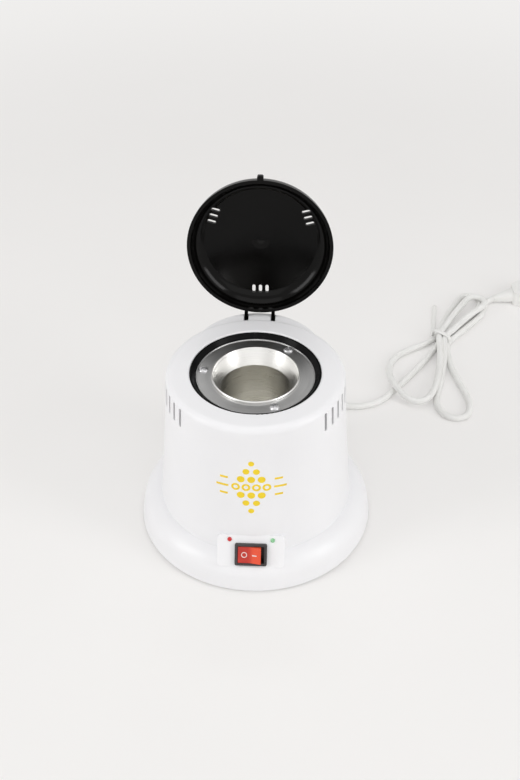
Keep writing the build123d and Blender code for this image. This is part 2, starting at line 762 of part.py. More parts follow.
with BuildPart() as lid:
    with BuildSketch(lid_section):
        with BuildLine():
            add(cap_outline(0, 0))
        make_face()
    revolve(axis=lid_axis)
    # small lift tab at the front edge
    with BuildSketch(lid_plane):
        with Locations((0, -lid_radius)):
            RectangleRounded(tab_width, 2 * tab_reach, 1.2)
    extrude(amount=lid_band)
    with BuildSketch(lid_section):
        with BuildLine():
            add(cap_outline(lid_wall, -1))
        make_face()
    revolve(axis=lid_axis, mode=Mode.SUBTRACT)
    # hinge lugs: an arm out of the rim, a riser down into the slot and a knuckle
    axis_y = hinge_y
    axis_z = hinge_z - rim_height
    for side in (-1, 1):
        with BuildSketch(lug_section.offset(side * lug_spacing / 2)):
            with BuildLine():
                Polyline((lid_radius - 1.6, 0.5), (axis_y + 0.2, 0.5), (axis_y + 0.2, axis_z),
                         (axis_y + knuckle_radius, axis_z), (axis_y + knuckle_radius, 3.1),
                         (lid_radius - 1.6, 3.1), close=True)
            make_face()
            with Locations((axis_y, axis_z)):
                Circle(knuckle_radius)
            with Locations((axis_y, axis_z)):
                Circle(pin_radius + running_gap, mode=Mode.SUBTRACT)
        extrude(amount=lug_thickness / 2, both=True)
    # three groups of three slots through the crown
    for azimuth, lean in ((90, 0), (-30, lid_slot_lean), (210, -lid_slot_lean)):
        angle = radians(azimuth)
        group_x = lid_slot_circle * cos(angle)
        group_y = lid_slot_circle * sin(angle)
        group_turn = radians(azimuth + lean)
        with BuildSketch(lid_plane.offset(lid_height + 1)):
            for index in (-1, 0, 1):
                slot_x = group_x - index * lid_slot_pitch * sin(group_turn)
                slot_y = group_y + index * lid_slot_pitch * cos(group_turn)
                with Locations((slot_x, slot_y)):
                    SlotOverall(lid_slot_length, lid_slot_width, rotation=azimuth + lean)
        extrude(amount=-lid_wall - 9, mode=Mode.SUBTRACT)

with BuildPart() as hinge_pin:
    with BuildSketch(Plane((-pocket_half - ear_length + 0.6, hinge_y, hinge_z), z_dir=(1, 0, 0))):
        Circle(pin_radius)
    extrude(amount=2 * (pocket_half + ear_length - 0.6))

# Mains lead: strain relief in the back wall, tail and clamp inside
gland_plane = Plane((0, 0, gland_height), x_dir=(0, 1, 0), z_dir=(-1, 0, 0))
with BuildPart() as strain_relief:
    with BuildSketch(gland_plane):
        with BuildLine():
            Polyline((gland_tail_y, 0), (gland_tail_y, -gland_hole_radius - 0.5),
                     (gland_tail_y + 2.0, -gland_hole_radius - 0.5),
                     (gland_tail_y + 2.0, 0.1 - gland_hole_radius), (gland_seat_y, 0.1 - gland_hole_radius),
                     (gland_seat_y, -gland_flange_radius), (gland_seat_y + 1.6, -gland_flange_radius),
                     (gland_seat_y + 2.2, -5.0), (gland_end_y, -cord_radius - 0.9), (gland_end_y, 0),
                     close=True)
        make_face()
    revolve(axis=Axis((0, 0, gland_height), (0, 1, 0)))
    for index in range(4):
        groove_y = gland_seat_y + 5.2 + index * 3.4
        with BuildSketch(Plane((0, groove_y, gland_height), x_dir=(1, 0, 0), z_dir=(0, 1, 0))):
            Circle(8)
            Circle(cord_radius + 0.5, mode=Mode.SUBTRACT)
            with Locations((0, 0)):
                Rectangle(2.4, 20, mode=Mode.SUBTRACT)
        extrude(amount=1.3, mode=Mode.SUBTRACT)

with BuildPart() as lead_tail:
    with BuildSketch(Plane((0, gland_tail_y, gland_height), x_dir=(1, 0, 0), z_dir=(0, -1, 0))):
        Circle(cord_radius)
    extrude(amount=gland_tail_y - tail_end_y)
    for side in (-1, 1):
        with BuildLine():
            FilletPolyline((side * 1.3, tail_end_y + 0.5, gland_height),
                           (side * 1.3, tail_end_y - 3, gland_height),
                           (side * 5, block_y + 7.5, gland_height - 1),
                           (side * 5, block_y + 2, gland_height - 1), radius=1.8)
        with BuildSketch(Plane((side * 1.3, tail_end_y + 0.5, gland_height), z_dir=(0, -1, 0))):
            Circle(wire_radius)
        sweep()

with BuildPart() as cord_clamp:
    with BuildSketch(Plane((0, clamp_y, 0), x_dir=(-1, 0, 0), z_dir=(0, 1, 0))):
        with Locations((0, (base_plate_top + clamp_top) / 2)):
            Rectangle(clamp_width, clamp_top - base_plate_top)
        with Locations((0, gland_height)):
            Circle(cord_radius + thread_gap, mode=Mode.SUBTRACT)
    extrude(amount=clamp_depth / 2, both=True)
    with BuildSketch(Plane.XY.offset(clamp_top)):
        with Locations((-clamp_screw_reach, clamp_y), (clamp_screw_reach, clamp_y)):
            Circle(clamp_screw_radius + thread_gap)
    extrude(amount=-clamp_screw_length - 1, mode=Mode.SUBTRACT)

with BuildPart() as clamp_screws:
    for side in (-1, 1):
        with BuildSketch(Plane.XY.offset(clamp_top)):
            with Locations((side * clamp_screw_reach, clamp_y)):
                Circle(clamp_screw_radius)
        extrude(amount=-clamp_screw_length)
        with BuildSketch(Plane.XY.offset(clamp_top)):
            with Locations((side * clamp_screw_reach, clamp_y)):
                Circle(2 * clamp_screw_radius)
        extrude(amount=base_screw_head_height)

# Terminal block on the base plate
with BuildPart() as terminal_block:
    with BuildSketch(Plane.XY.offset(base_plate_top)):
        with Locations((0, block_y)):
            RectangleRounded(24, 12, 1.0)
    extrude(amount=12.5)
    with BuildSketch(Plane((0, block_y, gland_height - 1), x_dir=(-1, 0, 0), z_dir=(0, 1, 0))):
        with Locations((-5, 0), (5, 0)):
            Circle(1.9)
    extrude(amount=10, both=True, mode=Mode.SUBTRACT)
    with BuildSketch(Plane.XY.offset(base_plate_top + 12.5)):
        with GridLocations(10, 6, 2, 2):
            with Locations((0, block_y)):
                Circle(1.8)
    extrude(amount=-5, mode=Mode.SUBTRACT)

with BuildPart() as terminal_screws:
    with BuildSketch(Plane.XY.offset(gland_height - 1 + wire_radius)):
        with GridLocations(10, 6, 2, 2):
            with Locations((0, block_y)):
                Circle(1.75)
    extrude(amount=3.2)

# Inner wiring
switch_end = pad_plane.offset(-switch_body_depth - 8).origin


def wire(points, radius):
    with BuildPart() as run:
        with BuildLine() as path:
            FilletPolyline(*points, radius=radius)
        with BuildSketch(Plane(origin=path.line @ 0, z_dir=path.line % 0)):
            Circle(wire_radius)
        sweep()
    return run.part


live_wire = wire([(-4.8, switch_end.Y, switch_end.Z), (-4.8, switch_end.Y + 7, switch_end.Z - 3.8),
                  (-12, -20, 8), (-12, 22, 8), (-5, block_y - 9, gland_height - 1),
                  (-5, block_y - 2, gland_height - 1)], 3)
control_wire = wire([(4.8, switch_end.Y, switch_end.Z), (4.8, switch_end.Y + 7, switch_end.Z - 3.8),
                     (4, thermostat_y - 7, 11), (4, thermostat_y, 14),
                     (4, thermostat_y, can_bottom - 17)], 2.5)
with BuildPart() as switch_leads:
    add(live_wire)
    add(control_wire)

supply_wire = wire([(-4, thermostat_y, can_bottom - 17), (-4, thermostat_y, 13),
                    (-2.5, thermostat_y + 12, 10), (-2.5, lead_y, 16),
                    (-2.5, lead_y, lug_top - 12)], 2.5)
neutral_wire = wire([(5, block_y - 2, gland_height - 1), (5, block_y - 8, gland_height - 1),
                     (2.5, lead_y, 19), (2.5, lead_y, lug_top - 12)], 2)
with BuildPart() as heater_leads:
    add(supply_wire)
    add(neutral_wire)

# Mains lead outside: a free run on the bench, then a tied hank and the plug.
# The route's points are chosen by hand, with z at the cord's middle.
lie = cord_radius + 0.1
route = [
    (0, gland_end_y, gland_height),
    (0, 107, 12.6),
    (0.8, 119, 10),
    (5.5, 129.8, 6.6),
    (15, 136.2, 4),
    (26.8, 137.4, lie),
    (38.9, 132.8, lie),
    (48.1, 123.8, lie),
    (56.1, 114.6, lie),
    (66.8, 108.6, lie),
    (79.3, 109.6, lie),
    (90.1, 114.4, lie),
    (97.8, 121.6, lie),
    (103.5, 129.4, lie),
]


def corner_radii(points):
    radii = []
    for before, corner, after in zip(points, points[1:], points[2:]):
        arriving = Vector(*corner) - Vector(*before)
        leaving = Vector(*after) - Vector(*corner)
        half_turn = radians(arriving.get_angle(leaving)) / 2
        radii.append(0.45 * min(arriving.length, leaving.length) / tan(half_turn))
    return radii


cord_radii = corner_radii(route)
print("cord radii", [round(r, 1) for r in cord_radii])
with BuildPart() as power_cord:
    with BuildLine() as cord_path:
        FilletPolyline(*route, radius=cord_radii)
    with BuildSketch(Plane(origin=route[0], z_dir=(0, 1, 0))):
        Circle(cord_radius)
    sweep()
cord_length = sum(edge.length for edge in cord_path.edges())
print("cord length", round(cord_length, 1), "volume ratio",
      round(power_cord.part.volume / (cord_length * pi * cord_radius ** 2), 4))

# Hank: two lobes of slack turns below the tie and a long narrow bundle above it.
# Each lobe is the hull of circles given as x, y and radius.
hank_end = Vector(*route[-1])
hank_way = (hank_end - Vector(*route[-2])).normalized()
tie_circle = (tie_x, tie_y, tie_radius)
lobes = [
    [(108.4, 164.9, 10), (112.4, 130, 11), (127.8, 122.7, 12), tie_circle],
    [(150.3, 110.7, 15.5), tie_circle],
    [tie_circle, (181.5, 256.8, 12), (plug_x, plug_y, 5)],
]
plug_way = Vector(cos(radians(plug_heading)), sin(radians(plug_heading)), 0)
plug_across = Vector(-plug_way.Y, plug_way.X, 0)
plug_floor = Plane(origin=(plug_x, plug_y, 0), x_dir=plug_way, z_dir=(0, 0, 1))
with BuildPart() as cord_hank:
    for lobe in lobes:
        with BuildSketch(Plane.XY.offset(hank_floor)):
            for x, y, r in lobe:
                with Locations((x, y)):
                    Circle(r)
            make_hull()
        extrude(amount=hank_height)
    # flat faces where the free run and the plug meet the hank
    with BuildSketch(Plane(origin=hank_end - Vector(0, 0, 3), x_dir=hank_way, z_dir=(0, 0, 1))):
        with Locations((-14.8, 0)):
            Rectangle(30, 26)
    extrude(amount=hank_height + 5, mode=Mode.SUBTRACT)
    with BuildSketch(plug_floor):
        with Locations((10, 0)):
            Rectangle(20, 40)
    extrude(amount=hank_height + 5, mode=Mode.SUBTRACT)

# Band that ties the hank, over its top and down both sides
tie_way = Vector(cos(radians(tie_heading)), sin(radians(tie_heading)), 0)
tie_plane = Plane(origin=(tie_x, tie_y, hank_floor), x_dir=(-tie_way.Y, tie_way.X, 0), z_dir=tie_way)
with BuildPart() as cord_tie:
    with BuildSketch(tie_plane):
        with Locations((0, (hank_height + tie_thickness) / 2)):
            Rectangle(2 * (tie_radius + tie_thickness), hank_height + tie_thickness)
    extrude(amount=tie_width / 2, both=True)
    add(cord_hank.part, mode=Mode.SUBTRACT)

# Two-pin plug with a ribbed, tapered boot, lying on its flat side
boot_start = Plane(origin=(plug_x, plug_y, cord_radius + 0.6), x_dir=plug_across, z_dir=plug_way)
boot_end = Plane(origin=plug_floor.from_local_coords((boot_length, 0, plug_thickness / 2 + 0.1)),
                 x_dir=plug_across, z_dir=plug_way)
plug_end = boot_length + plug_length
with BuildPart() as plug_body:
    with BuildSketch(boot_start):
        Circle(cord_radius + 0.5)
    with BuildSketch(boot_end):
        RectangleRounded(12.5, 11.5, 4.5)
    loft()
    with BuildSketch(plug_floor.offset(0.1)):
        with BuildLine():
            Polyline((boot_length - 1, -6.8), (boot_length + 8, -plug_width / 2),
                     (plug_end, -plug_width / 2), (plug_end, plug_width / 2),
                     (boot_length + 8, plug_width / 2), (boot_length - 1, 6.8), close=True)
        make_face()
        fillet(vertices(), 3.0)
    extrude(amount=plug_thickness)

with BuildPart() as plug_pins:
    for side in (-1, 1):
        pin_root = plug_floor.from_local_coords((plug_end, side * plug_pin_spacing / 2, plug_thickness / 2))
        with BuildSketch(Plane(origin=pin_root, x_dir=(0, 0, 1), z_dir=plug_way)):
            Circle(plug_pin_radius)
        extrude(amount=pin_length)
    pin_tips = plug_pins.edges().filter_by(GeomType.CIRCLE).sort_by(Axis(boot_start.origin, plug_way))[-2:]
    chamfer(pin_tips, 0.8)

# Each finished piece gets its label and a STEP file of its own
housing.part.label = "housing"
export_step(housing.part, "parts/housing.step")
base_plate.part.label = "base_plate"
export_step(base_plate.part, "parts/base_plate.step")
rubber_feet.part.label = "rubber_feet"
export_step(rubber_feet.part, "parts/rubber_feet.step")
base_screws.part.label = "base_screws"
export_step(base_screws.part, "parts/base_screws.step")
collar_ring.part.label = "collar_ring"
export_step(collar_ring.part, "parts/collar_ring.step")
flange_plate.part.label = "flange_plate"
export_step(flange_plate.part, "parts/flange_plate.step")
plate_screws.part.label = "plate_screws"
export_step(plate_screws.part, "parts/plate_screws.step")
crucible.part.label = "crucible"
export_step(crucible.part, "parts/crucible.step")
heater_band.part.label = "heater_band"
export_step(heater_band.part, "parts/heater_band.step")
band_screw.part.label = "band_screw"
export_step(band_screw.part, "parts/band_screw.step")
insulation_sleeve.part.label = "insulation_sleeve"
export_step(insulation_sleeve.part, "parts/insulation_sleeve.step")
insulation_disc.part.label = "insulation_disc"
export_step(insulation_disc.part, "parts/insulation_disc.step")
heat_shield.part.label = "heat_shield"
export_step(heat_shield.part, "parts/heat_shield.step")
can_screws.part.label = "can_screws"
export_step(can_screws.part, "parts/can_screws.step")
thermostat.part.label = "thermostat"
export_step(thermostat.part, "parts/thermostat.step")
thermostat_strap.part.label = "thermostat_strap"
export_step(thermostat_strap.part, "parts/thermostat_strap.step")
strap_screws.part.label = "strap_screws"
export_step(strap_screws.part, "parts/strap_screws.step")
thermal_fuse.part.label = "thermal_fuse"
export_step(thermal_fuse.part, "parts/thermal_fuse.step")
fuse_saddle.part.label = "fuse_saddle"
export_step(fuse_saddle.part, "parts/fuse_saddle.step")
switch_body.part.label = "switch_body"
export_step(switch_body.part, "parts/switch_body.step")
switch_rocker.part.label = "switch_rocker"
export_step(switch_rocker.part, "parts/switch_rocker.step")
switch_blades.part.label = "switch_blades"
export_step(switch_blades.part, "parts/switch_blades.step")
red_lamp.part.label = "red_lamp"
export_step(red_lamp.part, "parts/red_lamp.step")
green_lamp.part.label = "green_lamp"
export_step(green_lamp.part, "parts/green_lamp.step")
lamp_board.part.label = "lamp_board"
export_step(lamp_board.part, "parts/lamp_board.step")
lid.part.label = "lid"
export_step(lid.part, "parts/lid.step")
hinge_pin.part.label = "hinge_pin"
export_step(hinge_pin.part, "parts/hinge_pin.step")
strain_relief.part.label = "strain_relief"
export_step(strain_relief.part, "parts/strain_relief.step")
lead_tail.part.label = "lead_tail"
export_step(lead_tail.part, "parts/lead_tail.step")
cord_clamp.part.label = "cord_clamp"
export_step(cord_clamp.part, "parts/cord_clamp.step")
clamp_screws.part.label = "clamp_screws"
export_step(clamp_screws.part, "parts/clamp_screws.step")
terminal_block.part.label = "terminal_block"
export_step(terminal_block.part, "parts/terminal_block.step")
terminal_screws.part.label = "terminal_screws"
export_step(terminal_screws.part, "parts/terminal_screws.step")
switch_leads.part.label = "switch_leads"
export_step(switch_leads.part, "parts/switch_leads.step")
heater_leads.part.label = "heater_leads"
export_step(heater_leads.part, "parts/heater_leads.step")
power_cord.part.label = "power_cord"
export_step(power_cord.part, "parts/power_cord.step")
cord_hank.part.label = "cord_hank"
export_step(cord_hank.part, "parts/cord_hank.step")
cord_tie.part.label = "cord_tie"
export_step(cord_tie.part, "parts/cord_tie.step")
plug_body.part.label = "plug_body"
export_step(plug_body.part, "parts/plug_body.step")
plug_pins.part.label = "plug_pins"
export_step(plug_pins.part, "parts/plug_pins.step")
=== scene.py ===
from math import cos, pi, radians, sin

import bmesh
import bpy
from mathutils import Matrix, Vector
from mathutils.bvhtree import BVHTree


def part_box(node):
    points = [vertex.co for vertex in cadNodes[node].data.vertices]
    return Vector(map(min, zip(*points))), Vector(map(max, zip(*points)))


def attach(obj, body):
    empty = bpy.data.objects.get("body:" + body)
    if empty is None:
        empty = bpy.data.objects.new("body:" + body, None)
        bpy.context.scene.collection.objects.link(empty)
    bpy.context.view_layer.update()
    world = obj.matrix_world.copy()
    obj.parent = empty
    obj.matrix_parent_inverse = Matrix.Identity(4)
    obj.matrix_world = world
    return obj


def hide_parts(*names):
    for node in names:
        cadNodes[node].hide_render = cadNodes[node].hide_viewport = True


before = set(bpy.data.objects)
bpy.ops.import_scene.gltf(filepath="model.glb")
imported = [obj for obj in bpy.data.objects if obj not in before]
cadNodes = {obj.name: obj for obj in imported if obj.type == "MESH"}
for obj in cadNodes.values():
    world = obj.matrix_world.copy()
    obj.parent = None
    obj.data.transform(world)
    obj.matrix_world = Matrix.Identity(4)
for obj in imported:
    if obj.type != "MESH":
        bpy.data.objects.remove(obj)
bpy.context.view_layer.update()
scene = bpy.context.scene
scene.view_settings.view_transform = "Standard"
print("frame loaded,", len(cadNodes), "nodes")


# Camera: above the front edge of the bench, a little to the right of the switch
cameraValues = {
    "distance": 0.5619,
    "height": 0.5712,
    "pitch": 39.57,
    "yaw": 2.5,
    "sideStep": 0.0029,
    "focalPixels": 1116.4,
    "imageHeight": 780,
    "sensorHeight": 36,
    "clipEnd": 30,
}


def placeCamera(values):
    pitch = radians(values["pitch"])
    yaw = radians(values["yaw"])
    right = Vector((cos(yaw), sin(yaw), 0))
    ahead = Vector((-sin(yaw), cos(yaw), 0))
    forward = ahead * cos(pitch) + Vector((0, 0, -sin(pitch)))
    up = right.cross(forward)
    data = bpy.data.cameras.new("benchCamera")
    data.sensor_fit = "VERTICAL"
    data.sensor_height = values["sensorHeight"]
    data.lens = values["focalPixels"] * data.sensor_height / values["imageHeight"]
    data.clip_end = values["clipEnd"]
    camera = bpy.data.objects.new("benchCamera", data)
    scene.collection.objects.link(camera)
    spot = right * values["sideStep"] - ahead * values["distance"] + Vector((0, 0, values["height"]))
    camera.matrix_world = Matrix.Translation(spot) @ Matrix((right, up, -forward)).transposed().to_4x4()
    scene.camera = camera


placeCamera(cameraValues)
print("camera placed")


# Small tools for meshes: one adds a piece, the other finds the surface of a CAD node
def addMesh(name, bm, finish, body=None, smooth=True):
    bmesh.ops.recalc_face_normals(bm, faces=bm.faces)
    mesh = bpy.data.meshes.new(name)
    bm.to_mesh(mesh)
    bm.free()
    for polygon in mesh.polygons:
        polygon.use_smooth = smooth
    mesh.materials.append(finish)
    piece = bpy.data.objects.new(name, mesh)
    scene.collection.objects.link(piece)
    if body:
        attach(piece, body)
    return piece


def surfaceOf(nodeName):
    mesh = cadNodes[nodeName].data
    return BVHTree.FromPolygons([v.co for v in mesh.vertices], [p.vertices for p in mesh.polygons])


# Small tools for finishes: every finish is a Principled shader with noise on its colour,
# roughness and relief, all read from the piece's own coordinates in metres
def newFinish(name, values):
    material = bpy.data.materials.new(name)
    material.use_nodes = True
    shader = material.node_tree.nodes["Principled BSDF"]
    for socket, value in values.get("sockets", {}).items():
        shader.inputs[socket].default_value = value
    return material, material.node_tree, shader


def place(tree, kind, **settings):
    node = tree.nodes.new(kind)
    for key, value in settings.items():
        if key in node.inputs:
            node.inputs[key].default_value = value
        else:
            setattr(node, key, value)
    return node


def calculate(tree, operation, *terms):
    node = place(tree, "ShaderNodeMath", operation=operation)
    for socket, term in zip(node.inputs, terms):
        if isinstance(term, bpy.types.NodeSocket):
            tree.links.new(term, socket)
        else:
            socket.default_value = term
    return node.outputs[0]


def objectCoordinates(tree, stretch=(1, 1, 1)):
    coordinates = place(tree, "ShaderNodeTexCoord")
    mapping = place(tree, "ShaderNodeMapping", Scale=stretch)
    tree.links.new(coordinates.outputs["Object"], mapping.inputs["Vector"])
    return mapping.outputs["Vector"]


def splitAxes(tree, vector):
    split = place(tree, "ShaderNodeSeparateXYZ")
    tree.links.new(vector, split.inputs[0])
    return split.outputs


def joinAxes(tree, *values):
    joined = place(tree, "ShaderNodeCombineXYZ")
    for socket, value in zip(joined.inputs, values):
        tree.links.new(value, socket)
    return joined.outputs[0]


def lengthOf(tree, vector):
    length = place(tree, "ShaderNodeVectorMath", operation="LENGTH")
    tree.links.new(vector, length.inputs[0])
    return length.outputs["Value"]


def mapBetween(tree, value, fromRange, toRange, shape="LINEAR"):
    mapRange = place(tree, "ShaderNodeMapRange", interpolation_type=shape)
    for socket, end in zip(("From Min", "From Max", "To Min", "To Max"), (*fromRange, *toRange)):
        mapRange.inputs[socket].default_value = end
    tree.links.new(value, mapRange.inputs["Value"])
    return mapRange.outputs["Result"]


# The Mix node's colour sockets share their names with its number sockets, so they go by place
mixSockets = {"under": 6, "over": 7, "result": 2}


def blendColours(tree, factor, under, over, blendType="MIX"):
    mix = place(tree, "ShaderNodeMix", data_type="RGBA", blend_type=blendType)
    tree.links.new(factor, mix.inputs["Factor"])
    tree.links.new(under, mix.inputs[mixSockets["under"]])
    mix.inputs[mixSockets["over"]].default_value = (*over, 1)
    return mix.outputs[mixSockets["result"]]


# Noise: detail and roughness of each kind, the stretch of its range that is used,
# and how grain and patches share a metal's surface
noiseValues = {
    "clouds": (4, 0.55),
    "smears": (5, 0.65),
    "waves": (1, 0.55),
    "skin": (6, 0.6),
    "grain": (6, 0.7),
    "patches": (4, 0.55),
    "rubs": (3, 0.55),
    "mottle": (3, 0.55),
    "usedRange": (0.3, 0.7),
    "grainShare": 0.6,
    "patchShare": 0.4,
}


def noiseFrom(tree, vector, kind, scale):
    detail, roughness = noiseValues[kind]
    noise = place(tree, "ShaderNodeTexNoise", Scale=scale, Detail=detail, Roughness=roughness)
    tree.links.new(vector, noise.inputs["Vector"])
    return noise.outputs["Fac"]


def rampBetween(tree, factor, dark, light):
    ramp = place(tree, "ShaderNodeValToRGB")
    stops = list(ramp.color_ramp.elements)
    for stop, position, colour in zip(stops, noiseValues["usedRange"], (dark, light)):
        stop.position = position
        stop.color = (*colour, 1)
    tree.links.new(factor, ramp.inputs["Fac"])
    return ramp.outputs["Color"]


def rangeBetween(tree, factor, low, high):
    return mapBetween(tree, factor, noiseValues["usedRange"], (low, high))


def addRelief(tree, shader, height, depth, before=None):
    bump = place(tree, "ShaderNodeBump", Strength=1, Distance=depth)
    tree.links.new(height, bump.inputs["Height"])
    if before:
        tree.links.new(before, bump.inputs["Normal"])
    tree.links.new(bump.outputs["Normal"], shader.inputs["Normal"])
    return bump.outputs["Normal"]


# Rubbed edges: where the rounded normal leaves the flat one, the colour goes paler in patches
rubValues = {
    "samples": 3,
    "matchRange": (0.995, 0.86),
    "patchRange": (0.1, 1),
}


def rubEdges(tree, shader, colour, values):
    rounded = place(tree, "ShaderNodeBevel", samples=rubValues["samples"], Radius=values["edgeRadius"])
    geometry = place(tree, "ShaderNodeNewGeometry")
    match = place(tree, "ShaderNodeVectorMath", operation="DOT_PRODUCT")
    tree.links.new(rounded.outputs["Normal"], match.inputs[0])
    tree.links.new(geometry.outputs["Normal"], match.inputs[1])
    edge = mapBetween(tree, match.outputs["Value"], rubValues["matchRange"], (0, 1))
    rubs = noiseFrom(tree, objectCoordinates(tree), "rubs", values["edgePatches"])
    share = calculate(tree, "MULTIPLY", edge, rangeBetween(tree, rubs, *rubValues["patchRange"]))
    tree.links.new(blendColours(tree, share, colour, values["edgeColour"]), shader.inputs["Base Color"])
    return rounded.outputs["Normal"]


# Moulded plastics and rubber: cloudy colour, uneven gloss, broad flow waves and a fine skin
def plasticFinish(name, values):
    material, tree, shader = newFinish(name, values)
    vector = objectCoordinates(tree)
    clouds = noiseFrom(tree, vector, "clouds", values["cloudScale"])
    colour = rampBetween(tree, clouds, values["dark"], values["light"])
    tree.links.new(colour, shader.inputs["Base Color"])
    rounded = rubEdges(tree, shader, colour, values) if "edgeColour" in values else None
    smears = noiseFrom(tree, vector, "smears", values["smearScale"])
    tree.links.new(rangeBetween(tree, smears, *values["roughness"]), shader.inputs["Roughness"])
    waves = noiseFrom(tree, vector, "waves", values["waveScale"])
    broad = addRelief(tree, shader, waves, values["waveDepth"], rounded)
    skin = noiseFrom(tree, vector, "skin", values["skinScale"])
    addRelief(tree, shader, skin, values["skinDepth"], broad)
    return material


# Metals: grain turned in rings or drawn out along the tool's way, with dull patches
def metalFinish(name, values):
    material, tree, shader = newFinish(name, values)
    if "ringShare" in values:
        grainVector = turnedCoordinates(tree, values["ringShare"])
        tangent = place(tree, "ShaderNodeTangent", direction_type="RADIAL", axis="Z")
        tree.links.new(tangent.outputs["Tangent"], shader.inputs["Tangent"])
    else:
        grainVector = objectCoordinates(tree, values["stretch"])
    grain = noiseFrom(tree, grainVector, "grain", values["grainScale"])
    patches = noiseFrom(tree, objectCoordinates(tree), "patches", values["patchScale"])
    dull = calculate(tree, "MULTIPLY", patches, noiseValues["patchShare"])
    blend = calculate(tree, "MULTIPLY_ADD", grain, noiseValues["grainShare"], dull)
    colour = rampBetween(tree, blend, values["dark"], values["light"])
    # below a height the colour takes painted shade
    if "boreShadeTint" in values:
        colour = paintShadeBelow(tree, colour, values)
    tree.links.new(colour, shader.inputs["Base Color"])
    rounded = rubEdges(tree, shader, colour, values) if "edgeColour" in values else None
    tree.links.new(rangeBetween(tree, blend, *values["roughness"]), shader.inputs["Roughness"])
    addRelief(tree, shader, grain, values["grainDepth"], rounded)
    return material


# Round-the-axis coordinates: distance from the upright axis and height make the rings
def turnedCoordinates(tree, ringShare):
    axes = splitAxes(tree, objectCoordinates(tree))
    outward = lengthOf(tree, joinAxes(tree, axes["X"], axes["Y"]))
    angle = calculate(tree, "ARCTAN2", axes["Y"], axes["X"])
    return joinAxes(tree, outward, calculate(tree, "MULTIPLY", angle, ringShare), axes["Z"])


# Painted shade: a slightly warmer, darker colour below a height, standing in for the shade down in a bore
def paintShadeBelow(tree, colour, values):
    height = splitAxes(tree, objectCoordinates(tree))["Z"]
    share = mapBetween(tree, height, (values["deepFrom"], values["deepTo"]), (1, 0))
    return blendColours(tree, share, colour, values["boreShadeTint"], "MULTIPLY")


def dress(finish, *nodeNames):
    for nodeName in nodeNames:
        mesh = cadNodes[nodeName].data
        mesh.materials.clear()
        mesh.materials.append(finish)


# Mains lead: soft white PVC, one smooth line from the strain relief through the tied hank
cordValues = {
    "radius": 0.0026,
    "realLength": 1.04,
    "exit": (0, 0.095, 0.013),
    "bevelSteps": 5,
    "splineSteps": 6,
    "finish": {
        "dark": (0.80, 0.80, 0.78),
        "light": (0.86, 0.86, 0.845),
        "cloudScale": 60,
        "smearScale": 300,
        "roughness": (0.38, 0.52),
        "waveScale": 90,
        "waveDepth": 0.0002,
        "skinScale": 2500,
        "skinDepth": 0.00003,
        "sockets": {"Specular IOR Level": 0.4},
    },
}
freeRun = [
    (0, 0.095, 0.013), (0, 0.107, 0.0126), (0.0008, 0.119, 0.01), (0.0055, 0.1298, 0.0066),
    (0.015, 0.1362, 0.004), (0.0268, 0.1374, 0.0027), (0.0389, 0.1328, 0.0027), (0.0481, 0.1238, 0.0027),
    (0.0561, 0.1146, 0.0027), (0.0668, 0.1086, 0.0027), (0.0793, 0.1096, 0.0027), (0.0901, 0.1144, 0.0027),
    (0.0978, 0.1216, 0.0027), (0.1035, 0.1294, 0.0027),
]
hankEntry = [
    (0.111, 0.1395, 0.0027), (0.1204, 0.1529, 0.0027), (0.1308, 0.1684, 0.0027), (0.1396, 0.1833, 0.0027),
    (0.147, 0.1976, 0.0027),
]
longTurn = [
    (0.1559, 0.2084, 0.0027), (0.1645, 0.2195, 0.0027), (0.173, 0.2306, 0.0027), (0.1795, 0.2388, 0.0027),
    (0.1831, 0.2452, 0.0027), (0.1854, 0.2516, 0.0027), (0.1863, 0.2583, 0.0027), (0.1829, 0.2643, 0.0027),
    (0.1763, 0.2664, 0.0027), (0.1701, 0.2629, 0.0027), (0.1660, 0.2556, 0.0027), (0.1618, 0.2470, 0.0027),
    (0.1565, 0.2368, 0.0027), (0.1518, 0.2253, 0.0027), (0.147, 0.2126, 0.0027), (0.1425, 0.201, 0.0027),
]
leftLobe = [
    (0.1337, 0.193, 0.0027), (0.124, 0.1866, 0.0027), (0.1147, 0.1807, 0.0027), (0.107, 0.1733, 0.0027),
    (0.1026, 0.1636, 0.0028), (0.101, 0.1531, 0.0042), (0.1017, 0.1426, 0.0066), (0.1042, 0.1327, 0.0081),
    (0.1084, 0.1237, 0.0076), (0.1136, 0.1170, 0.0062), (0.1204, 0.1138, 0.0056), (0.1273, 0.1146, 0.0062),
    (0.1326, 0.1194, 0.0076), (0.1360, 0.1274, 0.0081), (0.1391, 0.1387, 0.0076), (0.1415, 0.1523, 0.0074),
    (0.1434, 0.1664, 0.0076), (0.1447, 0.1815, 0.0079), (0.1447, 0.1993, 0.008),
]
shortTurn = [
    (0.1512, 0.2108, 0.008), (0.1567, 0.2228, 0.0076), (0.162, 0.2339, 0.0068), (0.1677, 0.2434, 0.0068),
    (0.1731, 0.2531, 0.007), (0.1789, 0.2577, 0.0074), (0.1857, 0.2563, 0.0078), (0.1893, 0.2503, 0.008),
    (0.1876, 0.2437, 0.008), (0.1822, 0.2378, 0.008), (0.1743, 0.2296, 0.008), (0.1659, 0.2184, 0.008),
    (0.1577, 0.2071, 0.008), (0.1493, 0.1959, 0.008),
]
rightLobe = [
    (0.1487, 0.1837, 0.0076), (0.1473, 0.1696, 0.0054), (0.145, 0.155, 0.003), (0.1418, 0.1403, 0.0027),
    (0.1386, 0.1277, 0.0027), (0.1368, 0.1166, 0.0027), (0.1389, 0.1066, 0.0027), (0.1448, 0.0998, 0.0027),
    (0.1529, 0.098, 0.0027), (0.1597, 0.1017, 0.0027), (0.1629, 0.1102, 0.0027), (0.1629, 0.1212, 0.0027),
    (0.1601, 0.1331, 0.0027), (0.1562, 0.146, 0.0027), (0.153, 0.1593, 0.0027), (0.1514, 0.1728, 0.0027),
    (0.1511, 0.1848, 0.0027), (0.1515, 0.1942, 0.0027),
]
